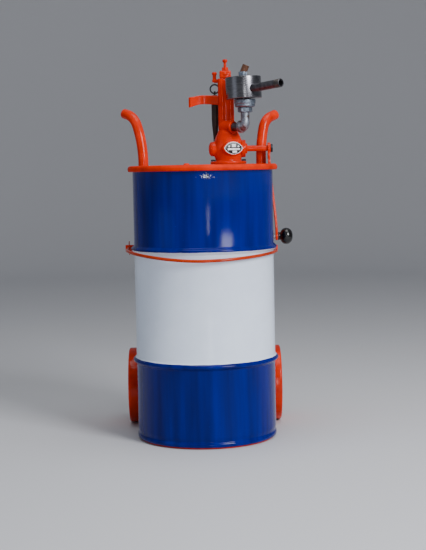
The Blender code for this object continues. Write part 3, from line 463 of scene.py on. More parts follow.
def makeBarTree():
    # a bar of round section along a curve, whose own point radius can round off its ends
    tree, given = newTree("barAlongPath", [("Radius", "NodeSocketFloat"), ("Sides", "NodeSocketInt"),
                                           ("Paint", "NodeSocketMaterial")])
    ring = addNode(tree, "GeometryNodeCurvePrimitiveCircle", None, Resolution=given.outputs["Sides"],
                   Radius=given.outputs["Radius"])
    bar = addNode(tree, "GeometryNodeCurveToMesh", None, Curve=given.outputs["Geometry"],
                  Profile_Curve=ring.outputs[0])
    bar.inputs["Fill Caps"].default_value = True
    if "Scale" in bar.inputs:
        size = addNode(tree, "GeometryNodeInputRadius")
        tree.links.new(size.outputs[0], bar.inputs["Scale"])
    weld = addNode(tree, "GeometryNodeMergeByDistance", None, Geometry=bar.outputs[0], Distance=0.000005)
    return endTree(tree, weld.outputs[0], given.outputs["Paint"])


def makeRidgeTree():
    # rings side by side up the Z axis, such as the crests of a thread
    tree, given = newTree("threadRidges", [("Radius", "NodeSocketFloat"), ("Depth", "NodeSocketFloat"),
                                           ("Length", "NodeSocketFloat"), ("Ridges", "NodeSocketInt"),
                                           ("Paint", "NodeSocketMaterial")])
    end = addNode(tree, "ShaderNodeCombineXYZ", None, Z=given.outputs["Length"])
    line = addNode(tree, "GeometryNodeMeshLine", {"mode": "END_POINTS"}, Count=given.outputs["Ridges"])
    tree.links.new(end.outputs[0], line.inputs["Offset"])
    ring = addNode(tree, "GeometryNodeCurvePrimitiveCircle", None, Resolution=48,
                   Radius=given.outputs["Radius"])
    section = addNode(tree, "GeometryNodeCurvePrimitiveCircle", None, Resolution=6,
                      Radius=given.outputs["Depth"])
    crest = addNode(tree, "GeometryNodeCurveToMesh", None, Curve=ring.outputs[0],
                    Profile_Curve=section.outputs[0])
    copies = addNode(tree, "GeometryNodeInstanceOnPoints", None, Points=line.outputs[0],
                     Instance=crest.outputs[0])
    return endTree(tree, copies.outputs[0], given.outputs["Paint"])


def makeBoltTree():
    # a washer and a hex head on each point
    tree, given = newTree("boltHeads", [("Across", "NodeSocketFloat"), ("Height", "NodeSocketFloat"),
                                        ("Washer", "NodeSocketFloat"), ("Paint", "NodeSocketMaterial")])
    radius = addNode(tree, "ShaderNodeMath", {"operation": "DIVIDE"}, i0=given.outputs["Across"],
                     i1=2 * cos(pi / 6)).outputs[0]
    head = addNode(tree, "GeometryNodeMeshCone", {"fill_type": "NGON"}, Vertices=6,
                   Depth=given.outputs["Height"])
    tree.links.new(radius, head.inputs["Radius Top"])
    tree.links.new(radius, head.inputs["Radius Bottom"])
    crown = addNode(tree, "GeometryNodeMeshUVSphere", None, Segments=18, Rings=8)
    tree.links.new(radius, crown.inputs["Radius"])
    lift = addNode(tree, "ShaderNodeCombineXYZ", None, Z=given.outputs["Height"])
    flat = addNode(tree, "GeometryNodeTransform", None, Geometry=crown.outputs[0], Scale=(0.86, 0.86, 0.16))
    tree.links.new(lift.outputs[0], flat.inputs["Translation"])
    disc = addNode(tree, "GeometryNodeMeshCylinder", {"fill_type": "NGON"}, Vertices=28, Depth=0.0009)
    tree.links.new(given.outputs["Washer"], disc.inputs["Radius"])
    bolt = addNode(tree, "GeometryNodeJoinGeometry")
    for piece in (head.outputs[0], flat.outputs[0], disc.outputs[0]):
        tree.links.new(piece, bolt.inputs[0])
    copies = addNode(tree, "GeometryNodeInstanceOnPoints", None, Points=given.outputs["Geometry"],
                     Instance=bolt.outputs[0])
    return endTree(tree, copies.outputs[0], given.outputs["Paint"])


barTree, ridgeTree, boltTree = makeBarTree(), makeRidgeTree(), makeBoltTree()


def grown(data, tree, values, matrix=None):
    # the plain mesh that a tree makes from a curve or mesh
    holder = bpy.data.objects.new("holder", data)
    parts.objects.link(holder)
    change = holder.modifiers.new("tree", "NODES")
    change.node_group = tree
    sockets = {item.name: item.identifier for item in tree.interface.items_tree if item.in_out == "INPUT"}
    for label, value in values.items():
        change[sockets[label]] = value
    bpy.context.view_layer.update()
    mesh = bpy.data.meshes.new_from_object(holder.evaluated_get(bpy.context.evaluated_depsgraph_get()))
    bpy.data.objects.remove(holder, do_unlink=True)
    shape = bmesh.new()
    shape.from_mesh(mesh)
    if matrix is not None:
        shape.transform(matrix)
    bmesh.ops.recalc_face_normals(shape, faces=shape.faces)
    shape.to_mesh(mesh)
    shape.free()
    return mesh


def barMesh(points, radius, paint, sides=32, fillets=(0, 0)):
    # a bent bar through points; each end is rounded by its fillet, up to a half ball
    places = [Vector(point) for point in points]
    scales = [1.0] * len(places)
    for at, fillet in ((0, fillets[0]), (-1, fillets[1])):
        if not fillet:
            continue
        tip = places[at]
        back = (places[1] - tip if at == 0 else places[-2] - tip).normalized()
        cap = [(tip + back * fillet * (1 - sin(a)), 1 - fillet / radius * (1 - cos(a)))
               for a in (radians(d) for d in (89, 78, 65, 50, 34, 17, 0))]
        if at == 0:
            places = [p for p, _ in cap] + places[1:]
            scales = [s for _, s in cap] + scales[1:]
        else:
            places = places[:-1] + [p for p, _ in reversed(cap)]
            scales = scales[:-1] + [s for _, s in reversed(cap)]
    curve = bpy.data.curves.new("path", "CURVE")
    curve.dimensions = "3D"
    spline = curve.splines.new("POLY")
    spline.points.add(len(places) - 1)
    for knot, place, scale in zip(spline.points, places, scales):
        knot.co = (*place, 1.0)
        knot.radius = scale
    return grown(curve, barTree, {"Radius": radius, "Sides": sides, "Paint": paint})


def bend(start, direction, radius, turnTo, count):
    first, last = Vector(direction).normalized(), Vector(turnTo).normalized()
    normal = first.cross(last).normalized()
    inward = normal.cross(first)
    centre = Vector(start) + inward * radius
    whole = acos(max(-1.0, min(1.0, first.dot(last))))
    turns = [Matrix.Rotation(whole * i / count, 3, normal) for i in range(1, count + 1)]
    return [centre + turn @ (-inward * radius) for turn in turns]


print("helpers ready")


# ---------- drum and cover
drumShape = {"radius": 0.178, "wall": 0.0014, "foot": 0.0043, "top": 0.691, "beads": (0.487, 0.204),
             "beadProud": 0.0082, "beadHalf": 0.0105, "chime": 0.1785}


def makeDrum():
    d = drumShape
    radius, foot, top = d["radius"], d["foot"], d["top"]
    outer = [(radius - 0.002, top, 0), (radius + 0.001, top - 0.0003, 0), (radius + 0.0028, top - 0.0025, 0),
             (radius + 0.0028, top - 0.0055, 0), (radius + 0.001, top - 0.0080, 0), (radius, top - 0.0095, 0)]
    for height in d["beads"]:
        for step in range(15):
            t = 1 - 2 * step / 14
            outer.append((radius + d["beadProud"] * (0.5 + 0.5 * cos(pi * t)) ** 0.8,
                          height + t * d["beadHalf"], 0))
    outer += [(radius, foot + 0.026, 0), (radius - 0.0006, foot + 0.021, 0),
              (radius - 0.0022, foot + 0.015, 0), (radius - 0.0024, foot + 0.0125, 0),
              (radius - 0.001, foot + 0.0105, 0), (d["chime"], foot + 0.0090, 0),
              (d["chime"] + 0.0003, foot + 0.0045, 0), (d["chime"], foot + 0.0015, 0),
              (d["chime"] - 0.002, foot, 0)]
    wall = d["wall"]
    inner = [(r - wall, z, 0) for r, z, _ in reversed(outer[3:-6])]
    outline = outer + [(d["chime"] - 0.006, foot, 0), (d["chime"] - 0.006, foot + 0.012, 0)] + inner
    outline.append((radius - 0.003, top - 0.002, 0))
    newObject("drumSkin", turnedMesh(outline, 160), drumEnamel, "root", ["drum_shell"], 60)


coverShape = {"radius": 0.1905, "low": 0.6815, "top": 0.697, "sheet": 0.0016}


def makeCover():
    c = coverShape
    radius, low, top = c["radius"], c["low"], c["top"]
    rim = radius - 0.0035
    flat = top - 0.0005
    outline = [(0, flat, 0), (rim - 0.010, flat, 0), (rim - 0.004, flat + 0.0003, 0.002),
               (rim, top - 0.0012, 0.002), (radius - 0.0007, top - 0.005, 0.002),
               (radius, top - 0.0085, 0.002), (radius - 0.0010, low + 0.002, 0.0015), (rim, low, 0.0015),
               (rim - 0.0035, low + 0.001, 0.001), (rim - 0.0045, low + 0.004, 0.001),
               (rim - 0.006, flat - c["sheet"], 0), (0, flat - c["sheet"], 0)]
    sheet = turnedMesh(outline, 160, closed=False)
    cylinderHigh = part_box("pump_cylinder")[1]
    axis = middleOf("pump_cylinder")
    sheet = less(sheet, rodMesh(cylinderHigh[0] - axis.x + 0.0015, (axis.x, axis.y, low), (0, 0, 1), 0.03))
    boss = turnedMesh([(0, 0.0047, 0), (0.0055, 0.0042, 0.001), (0.0075, 0.0018, 0.001),
                       (0.0080, -0.0004, 0), (0, -0.0004, 0)], 40, closed=False,
                      matrix=Matrix.Translation((-0.04, -0.02, top - 0.0003)))
    newObject("coverSkin", joined([sheet, boss]), coverEnamel, "root", ["drum_cover"], 50)


makeDrum()
makeCover()
print("drum made")


# ---------- hand truck
truckShape = {"tube": 0.0133, "x": 0.156, "y": 0.1335, "foot": 0.0046,
              "handles": {-1: (0.7025, 0.250, 23.8, 0.0552, 74.7, 0.0160),
                          1: (0.7175, 0.260, 16.8, 0.0442, 72.0, 0.0212)}, "fillet": 0.0035,
              "bandIn": 0.1875, "bandOut": 0.1915,
              "bandHalf": 0.017, "bandHeights": {"upper_band": 0.487, "lower_band": 0.204}}


def makeUprights():
    t = truckShape
    for side, word in ((-1, "left"), (1, "right")):
        x = side * t["x"]
        # a long gentle lean, then a tight bend out and back
        start, firstRadius, firstLean, nextRadius, nextLean, reach = t["handles"][side]
        diagonal = Vector((side, 1, 0)).normalized()
        first, after = [sin(radians(lean)) * diagonal + Vector((0, 0, cos(radians(lean))))
                        for lean in (firstLean, nextLean)]
        path = [Vector((x, t["y"], t["foot"])), Vector((x, t["y"], 0.35)), Vector((x, t["y"], start))]
        path += bend(path[-1], (0, 0, 1), firstRadius, first, 14)
        path += bend(path[-1], first, nextRadius, after, 14)
        path.append(path[-1] + after * reach)
        mesh = barMesh(path, t["tube"], orangeEnamel, 40, (0, t["fillet"]))
        newObject(f"{word}Upright", mesh, orangeEnamel, "root", [f"{word}_upright"], 50)


def makeBands():
    t = truckShape
    for node, height in t["bandHeights"].items():
        first = radians(23 if node == "upper_band" else 36)
        outline = arc(t["bandOut"], first, pi - first, 72) + arc(t["bandIn"], pi - first, first, 72)
        meshes = [extruded(outline, t["bandHalf"], Matrix.Translation((0, 0, height)), 0.0008)]
        if node == "upper_band":
            for side, z in ((-1, 0.483), (1, 0.476)):
                x = -0.006 + side * 0.190
                near, far = sorted((x + side * 0.009, side * 0.172))
                ear = boxMesh((near, 0.074, z - 0.009), (far, 0.078, z + 0.009), 0.0008)
                meshes.append(less(ear, rodMesh(0.0043, (x, 0.06, z), (0, 1, 0), 0.04, 32)))
        newObject(node.replace("_b", "B"), joined(meshes), orangeEnamel, "root", [node])


def makeToePlate():
    low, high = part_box("toe_plate")
    radius = high[0]
    nose = arc(radius, radians(140), radians(400), 80)
    outline = nose + [(radius, nose[0][1]), (radius, high[1]), (-radius, high[1]), (-radius, nose[0][1])]
    half = (high[2] - low[2]) / 2
    newObject("toePlate", extruded(outline, half, Matrix.Translation((0, 0, half)), 0.0008), orangeEnamel,
              "root", ["toe_plate"])
    for word in ("left", "right"):
        low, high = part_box(f"{word}_axle_bracket")
        bracket = boxMesh(low, high, 0.0015)
        axle = middleOf("axle")
        bracket = less(bracket, rodMesh(0.0083, (low[0] - 0.01, axle.y, axle.z), (1, 0, 0), 0.03, 40))
        newObject(f"{word}AxleBracket", bracket, orangeEnamel, "root", [f"{word}_axle_bracket"])


wheelShape = {"radius": 0.1016, "half": 0.015, "rim": 0.020, "bore": 0.0083}


def makeWheels():
    w = wheelShape
    radius, half, bore = w["radius"], w["half"], w["bore"]
    seat = radius - w["rim"]
    for word in ("left", "right"):
        matrix = aim(middleOf(f"{word}_tyre"), (1, 0, 0))
        tyre = [(seat + 0.0003, half - 0.003, 0.001), (radius - 0.009, half - 0.0008, 0.003),
                (radius - 0.0035, half, 0.002), (radius - 0.0002, half - 0.003, 0.002), (radius, 0, 0),
                (radius - 0.0002, 0.003 - half, 0.002), (radius - 0.0035, -half, 0.002),
                (radius - 0.009, 0.0008 - half, 0.003), (seat + 0.0003, 0.003 - half, 0.001)]
        newObject(f"{word}Tyre", turnedMesh(tyre, 128, matrix=matrix), orangeEnamel, f"{word}_wheel",
                  [f"{word}_tyre"])
        disc = [(bore, 0.011, 0.0005), (0.018, 0.011, 0.002), (0.022, 0.004, 0.004),
                (seat - 0.012, 0.004, 0.005), (seat - 0.005, 0.010, 0.003), (seat, 0.010, 0.001),
                (seat, -0.010, 0.001), (seat - 0.005, -0.010, 0.003), (seat - 0.012, -0.004, 0.005),
                (0.022, -0.004, 0.004), (0.018, -0.011, 0.002), (bore, -0.011, 0.0005)]
        plain = turnedMesh(disc, 96, matrix=matrix)
        newObject(f"{word}Disc", plain, orangeEnamel, f"{word}_wheel", [f"{word}_wheel_disc"])
    low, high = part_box("axle")
    end, head = (high[0] - low[0]) / 2, 0.0025
    outline = [(0, end, 0), (0.011, end, 0.001), (0.012, end - 0.001, 0.0005), (0.012, end - head, 0),
               (0.008, end - head, 0), (0.008, head - end, 0), (0.012, head - end, 0),
               (0.012, 0.001 - end, 0.0005), (0.011, -end, 0.001), (0, -end, 0)]
    newObject("axleRod", turnedMesh(outline, 48, closed=False, matrix=aim(middleOf("axle"), (1, 0, 0))),
              darkSteel, "root", ["axle"])


hoopShape = {"x": -0.006, "radius": 0.190, "rod": 0.004, "frontZ": 0.4645, "leftZ": 0.483, "rightZ": 0.476,
             "earY": 0.078, "sag": 1.7}


def makeHoop():
    h = hoopShape
    path = [(h["x"] - h["radius"], h["earY"] + 0.030, h["leftZ"]),
            (h["x"] - h["radius"], h["earY"] - 0.008, h["leftZ"])]
    count = 96
    for i in range(count + 1):
        angle = pi + pi * i / count
        end = h["leftZ"] if i < count / 2 else h["rightZ"]
        height = h["frontZ"] + (end - h["frontZ"]) * abs(cos(angle)) ** h["sag"]
        path.append((h["x"] + h["radius"] * cos(angle), h["radius"] * sin(angle) - 0.002, height))
    path += [(h["x"] + h["radius"], h["earY"] - 0.008, h["rightZ"]),
             (h["x"] + h["radius"], h["earY"] + 0.022, h["rightZ"])]
    newObject("hoopRod", barMesh(path, h["rod"], hoopEnamel, 20, (0.001, 0.001)), hoopEnamel, "root",
              ["hoop"], 50)
    at = Vector((h["x"] - h["radius"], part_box("wing_nut")[0][1], h["leftZ"]))
    hub = turnedMesh([(h["rod"] + 0.0003, 0.012, 0.0003), (0.0060, 0.012, 0.001), (0.0083, 0.0, 0.0008),
                      (h["rod"] + 0.0003, 0.0, 0)], 48, matrix=aim(at, (0, 1, 0)))
    sideOn = Matrix.Translation(at) @ Matrix(((0, 0, 1, 0), (1, 0, 0, 0), (0, 1, 0, 0), (0, 0, 0, 1)))
    wings = []
    for sign in (-1, 1):
        profile = [(0.0050, 0.0005), (0.0075, 0.0008), (0.0120, 0.0040), (0.0162, 0.0085), (0.0180, 0.0130),
                   (0.0178, 0.0165), (0.0158, 0.0184), (0.0130, 0.0182), (0.0100, 0.0155), (0.0050, 0.0100)]
        outline = [(y, sign * r) for r, y in profile]
        wings.append(extruded(outline if sign < 0 else outline[::-1], 0.0012, sideOn, 0.0005))
    newObject("wingNut", joined([hub] + wings), hoopEnamel, "hoop_wing_nut", ["wing_nut"])
    nutAt = (h["x"] + h["radius"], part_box("hoop_nut")[0][1], h["rightZ"])
    newObject("hoopNut", hexMesh(0.013, 0.0065, 0.0043, aim(nutAt, (0, 1, 0))), darkSteel, "root",
              ["hoop_nut"])


makeUprights()
makeBands()
makeToePlate()
makeWheels()
makeHoop()
print("hand truck made")


# ---------- pump casting
bodyShape = {"x": 0.069, "y": 0.114, "shaftY": 0.108, "shaftZ": 0.738, "flange": 0.0475,
             "flangeLow": 0.6985, "flangeTop": 0.7055, "columnY": 0.129, "columnTop": 0.9225,
             "voxel": 0.00105, "plateTurn": radians(18), "plateLong": 0.0258, "plateTall": 0.0160}
outletShape = {"elbow": Vector((0.113, 0.055, 0.794)), "along": Vector((0.68, -0.733, 0.0)).normalized(),
               "reach": 0.0185, "bossReach": 0.043, "nipple": 0.01065, "bore": 0.0079}


def pointedOval(halfLong, halfTall, count=18):
    radius = (halfLong ** 2 + halfTall ** 2) / (2 * halfTall)
    swing = acos((radius - halfTall) / radius)
    upper = arc(radius, pi / 2 - swing, pi / 2 + swing, count, y=halfTall - radius)
    lower = arc(radius, 1.5 * pi - swing, 1.5 * pi + swing, count, y=radius - halfTall)
    return upper[:-1] + lower[:-1]


def plateMatrix(reach):
    # stands a flat shape up on the casting's front, turned a little to the right
    b = bodyShape
    spin = Matrix.Rotation(b["plateTurn"], 4, "Z")
    at = Vector((b["x"], b["y"], b["shaftZ"] + 0.001)) + spin.to_3x3() @ Vector((0, -reach, 0))
    return Matrix.Translation(at) @ spin @ Matrix.Rotation(pi / 2, 4, "X")


def makeBody():
    b, o = bodyShape, outletShape
    outline = [(0, 0.7985, 0), (0.0190, 0.7965, 0.005), (0.0262, 0.7835, 0.008), (0.0325, 0.7690, 0.008),
               (0.0368, 0.7575, 0.008), (0.0396, 0.7465, 0.006), (0.0400, 0.7380, 0.006),
               (0.0382, 0.722, 0.005), (0.0347, 0.712, 0.003),
               (0.0342, b["flangeTop"], 0.0025), (b["flange"], b["flangeTop"], 0.0012),
               (b["flange"], b["flangeLow"], 0), (0, b["flangeLow"], 0)]
    bulb = turnedMesh(outline, 96, closed=False, matrix=Matrix.Translation((b["x"], b["y"], 0)))
    tall = b["columnTop"] - 0.74
    mouth = o["elbow"] - o["along"] * o["bossReach"]
    boss = turnedMesh([(0, 0.038, 0), (0.0162, 0.038, 0.002), (0.0162, 0.020, 0.006), (0.0180, 0.0, 0),
                       (0, 0, 0)], 48, closed=False, matrix=aim(mouth - o["along"] * 0.038, o["along"]))
    shaftAt = (b["shaftY"], b["shaftZ"])
    added = [rodMesh(0.0105, (0.0551, b["columnY"], 0.74), (0, 0, 1), tall),
             rodMesh(0.0100, (0.0768, b["columnY"], 0.74), (0, 0, 1), tall),
             boxMesh((0.0560, b["columnY"] - 0.0083, 0.7405),
                     (0.0760, b["columnY"] + 0.0093, b["columnTop"])),
             rodMesh(0.0190, (0.0262, *shaftAt), (1, 0, 0), 0.03),
             rodMesh(0.0190, (0.09, *shaftAt), (1, 0, 0), 0.02),
             rodMesh(0.0225, (0.1036, *shaftAt), (1, 0, 0), 0.0108), boss,
             extruded(pointedOval(b["plateLong"] + 0.0035, b["plateTall"] + 0.003), 0.0075,
                      plateMatrix(0.0345), 0)]
    whole = solved(bulb, [("BOOLEAN", {"operation": "UNION", "solver": "EXACT",
                                       "object": mesh}) for mesh in added])
    cast = solved(whole, [("REMESH", {"mode": "VOXEL", "voxel_size": b["voxel"]}),
                          ("SMOOTH", {"factor": 0.5, "iterations": 5})])
    rackLow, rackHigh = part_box("rack")
    pinionLow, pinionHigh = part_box("pinion")
    shaft = rodMesh(0.00805, (0.02, *shaftAt), (1, 0, 0), 0.11, 48)
    way = boxMesh((rackLow[0] - 0.0004, rackLow[1] - 0.0006, 0.69),
                  (rackHigh[0] + 0.0004, rackHigh[1] + 0.0005, 0.94))
    room = boxMesh((pinionLow[0] - 0.0026, pinionLow[1] - 0.0022, 0.69),
                   (pinionHigh[0] + 0.0026, 0.137, b["shaftZ"]))
    bowl = rodMesh(0.0226, (pinionLow[0] - 0.0027, *shaftAt), (1, 0, 0), 0.0174, 64)
    packing = rodMesh(0.0125, (0.1035, *shaftAt), (1, 0, 0), 0.03, 48)
    outlet = rodMesh(o["nipple"] + 0.0004, mouth - o["along"] * 0.012, o["along"], 0.03, 48)
    cast = less(cast, shaft, way, room, bowl, packing, outlet, solver="MANIFOLD")
    newObject("pumpCasting", cast, orangeEnamel, "root", ["pump_body"], 50)


def makeBodyTrim():
    b = bodyShape
    shaftAt = (b["shaftY"], b["shaftZ"])
    dome = [(0, 0.0087, 0), (0.006, 0.0085, 0.002), (0.0115, 0.0072, 0.003), (0.0160, 0.0048, 0.002),
            (0.0184, 0.0018, 0.0012), (0.0190, 0.0, 0.0004), (0, 0.0, 0)]
    newObject("leftCover", turnedMesh(dome, 64, closed=False, matrix=aim((0.0259, *shaftAt), (-1, 0, 0))),
              orangeEnamel, "root", ["left_bearing_cover"])
    low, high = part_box("gland_nut")
    newObject("glandNut", hexMesh(0.026, high[0] - low[0], 0.0081, aim((low[0], *shaftAt), (1, 0, 0))),
              orangeEnamel, "root", ["gland_nut"])
    places = [middleOf(f"flange_bolt_{i}") for i in (1, 2, 3, 4)]
    spots = bpy.data.meshes.new("spots")
    spots.from_pydata([(p.x, p.y, b["flangeTop"] + 0.0008) for p in places], [], [])
    heads = grown(spots, boltTree, {"Across": 0.0095, "Height": 0.0034, "Washer": 0.0056, "Paint": darkSteel})
    newObject("flangeBolts", heads, darkSteel, "root", [f"flange_bolt_{i}" for i in (1, 2, 3, 4)])


def makeNamePlate():
    b = bodyShape
    seat = 0.042 + 0.0003
    plain = extruded(pointedOval(b["plateLong"], b["plateTall"], 30), 0.0005, plateMatrix(seat + 0.0005),
                     0.0003)
    newObject("platePanel", plain, plateBlack, "root", ["name_plate"])
    outer = pointedOval(b["plateLong"], b["plateTall"], 30)
    inner = pointedOval(b["plateLong"] - 0.0016, b["plateTall"] - 0.0010, 30)
    shape = bmesh.new()
    count = len(outer)
    rows = []
    for outline, z in ((outer, 0), (outer, 0.00035), (inner, 0.00035), (inner, 0)):
        rows.append([shape.verts.new((x, y, z)) for x, y in outline])
    for first, second in zip(rows, rows[1:] + rows[:1]):
        for i in range(count):
            shape.faces.new((first[i], first[(i + 1) % count], second[(i + 1) % count], second[i]))
    shape.transform(plateMatrix(seat + 0.00102))
    raised = [meshFrom(shape)]
    bars = [((-0.0165, -0.0050), (0.0175, -0.0002)), ((-0.0045, 0.0028), (0.0060, 0.0108)),
            ((-0.0030, -0.0122), (0.0090, -0.0064))]
    for low, high in bars:
        raised.append(boxMesh((*low, 0), (*high, 0.00028), 0.0001, plateMatrix(seat + 0.00102), 1))
    for x in (-0.0125, 0.0130):
        diamond = [(x - 0.0030, 0.0045), (x, 0.0018), (x + 0.0030, 0.0045), (x, 0.0072)]
        raised.append(extruded(diamond, 0.00014, plateMatrix(seat + 0.00116), 0))
    for x in (-0.0215, 0.0215):
        rivetAt = plateMatrix(seat + 0.00102) @ Matrix.Translation((x, 0, 0))
        rivet = [(0, 0.0008, 0), (0.0009, 0.0006, 0.0002), (0.0013, 0, 0), (0, 0, 0)]
        raised.append(turnedMesh(rivet, 20, closed=False, matrix=rivetAt))
    newObject("plateRelief", joined(raised), plateSilver, "root", ())


def makeColumnTop():
    low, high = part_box("column_cap")
    screwAt = middleOf("stop_screw")
    cap = boxMesh((low[0], high[1] - 0.025, low[2]), high, 0.0042, segments=5)
    cap = less(cap, rodMesh(0.0039, (screwAt.x, screwAt.y, low[2] - 0.01), (0, 0, 1), 0.06, 40))
    plug = turnedMesh([(0, 0.0024, 0), (0.0022, 0.0022, 0.0006), (0.0044, 0.0009, 0.0005),
                       (0.0048, -0.0010, 0), (0, -0.0010, 0)], 40, closed=False,
                      matrix=aim((screwAt.x - 0.0005, high[1] - 0.025, (low[2] + high[2]) / 2 + 0.0008),
                                 (0, -1, 0)))
    newObject("columnCap", joined([cap, plug]), orangeEnamel, "root", ["column_cap"], 45)
    low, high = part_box("stop_locknut")
    newObject("stopLocknut", hexMesh(0.016, high[2] - low[2], 0.0039,
                                     aim((screwAt.x, screwAt.y, low[2]), (0, 0, 1))), orangeEnamel,
              "stop_locknut_body", ["stop_locknut"])
    low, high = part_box("stop_screw")
    top, tip = high[2], low[2]
    outline = [(0, top, 0), (0.0048, top, 0.001), (0.0064, top - 0.0013, 0.0008),
               (0.0065, top - 0.0060, 0.0012), (0.0048, top - 0.0078, 0.001),
               (0.0035, top - 0.0088, 0.0005), (0.0033, tip + 0.001, 0), (0, tip, 0)]
    shank = turnedMesh(outline, 48, closed=False, matrix=Matrix.Translation((screwAt.x, screwAt.y, 0)))
    seed = bpy.data.meshes.new("seed")
    screwThread = {"Radius": 0.0033, "Depth": 0.00032, "Length": 0.020, "Ridges": 17, "Paint": orangeEnamel}
    crests = grown(seed, ridgeTree, screwThread, Matrix.Translation((screwAt.x, screwAt.y, top - 0.032)))
    newObject("stopScrew", joined([shank, crests]), orangeEnamel, "stop_adjuster", ["stop_screw"])


makeBody()
makeBodyTrim()
makeNamePlate()
makeColumnTop()
print("pump made")


# ---------- crank
crankShape = {"shaft": 0.00775, "end": 0.006, "endLong": 0.0141, "armIn": 0.1722, "thick": 0.006,
              "spread": 0.0173, "head": 0.0145, "foot": 0.0110, "keySlot": (0.0075, 0.0023, 0.0025)}


def makeCrank():
    c, b = crankShape, bodyShape
    y, head = b["shaftY"], b["shaftZ"]
    foot = middleOf("crank_knob").z
    low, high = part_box("crank_shaft")
    span = high[0] - low[0]
    step = span - c["endLong"]
    shaft = turnedMesh([(0, span, 0), (0.0052, span, 0), (c["end"], span - 0.001, 0.0004),
                        (c["end"], step, 0), (c["shaft"], step, 0.0005), (c["shaft"], 0, 0), (0, 0, 0)], 48,
                       closed=False, matrix=aim((low[0], y, head), (1, 0, 0)))
    halfLong, halfWide, deep = c["keySlot"]
    middle = middleOf("pinion_key").x
    shaft = less(shaft, boxMesh((middle - halfLong, y - halfWide, head + c["shaft"] - deep),
                                (middle + halfLong, y + halfWide, head + c["shaft"] + deep)))
    newObject("crankShaft", shaft, orangeEnamel, "crank", ["crank_shaft"])
    loops = []
    for i in range(29):
        t = i / 28
        z = head + 0.004 + (foot - 0.006 - head) * t
        ease = max(0.0, min(1.0, (t - 0.12) / 0.80))
        x = c["armIn"] + c["spread"] * (0.45 * ease * ease * (3 - 2 * ease) + 0.55 * ease)
        loops.append(strapLoop(Vector((x + c["thick"] / 2, y, z)), Vector((1, 0, 0)), Vector((0, 1, 0)),
                               c["thick"] / 2, 0.0125 - 0.0025 * t, 0.0009))
    bar = loftMesh(loops)
    eyeHead = turnedMesh([(0, 0.0075, 0), (c["head"], 0.0075, 0.001), (c["head"], 0, 0.001), (0, 0, 0)], 64,
                         closed=False, matrix=aim((c["armIn"], y, head), (1, 0, 0)))
    footAt = aim((c["armIn"] + c["spread"] + 0.0001, y, foot), (1, 0, 0))
    eyeFoot = turnedMesh([(0, c["thick"], 0), (c["foot"], c["thick"], 0.001), (c["foot"], 0, 0.001),
                          (0, 0, 0)], 56, closed=False, matrix=footAt)
    arm = solved(bar, [("BOOLEAN", {"operation": "UNION", "solver": "EXACT", "object": eyeHead}),
                       ("BOOLEAN", {"operation": "UNION", "solver": "EXACT", "object": eyeFoot})])
    arm = less(arm, rodMesh(0.0063, (c["armIn"] - 0.02, y, head), (1, 0, 0), 0.05, 40),
               rodMesh(0.0043, (c["armIn"], y, foot), (1, 0, 0), 0.05, 32))
    newObject("crankArm", arm, orangeEnamel, "crank", ["crank_arm"], 45)
    low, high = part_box("crank_nut")
    newObject("crankNut", hexMesh(0.021, high[0] - low[0], 0.0063, aim((low[0], y, head), (1, 0, 0)), 0.0011),
              darkSteel, "crank", ["crank_nut"])
    low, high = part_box("crank_knob")
    long = high[0] - low[0]
    knob = [(0, long, 0), (0.009, long - 0.0006, 0.004), (0.0160, 0.0345, 0.004), (0.0206, 0.0285, 0.004),
            (0.0220, 0.0218, 0.004), (0.0207, 0.0145, 0.004), (0.0160, 0.0088, 0.003),
            (0.0108, 0.0066, 0.002), (0.0094, 0.0046, 0.002), (0.0110, 0.0020, 0.001),
            (0.0110, 0.0, 0.0006), (0.0043, 0.0, 0), (0.0043, 0.0325, 0), (0, 0.0325, 0)]
    newObject("crankKnob", turnedMesh(knob, 80, closed=False, matrix=aim((low[0], y, foot), (1, 0, 0))),
              phenolic, "knob", ["crank_knob"])


makeCrank()
print("crank made")


# ---------- outlet fittings
potShape = {"radius": 0.046, "wall": 0.004, "lean": radians(-2.2), "boss": 0.0035,
            "root": Vector((0.1341, 0.0164, 0.8891)), "along": Vector((0.667, -0.741, 0.075)).normalized(),
            "pipeLong": 0.1085, "pipeIn": 0.010}


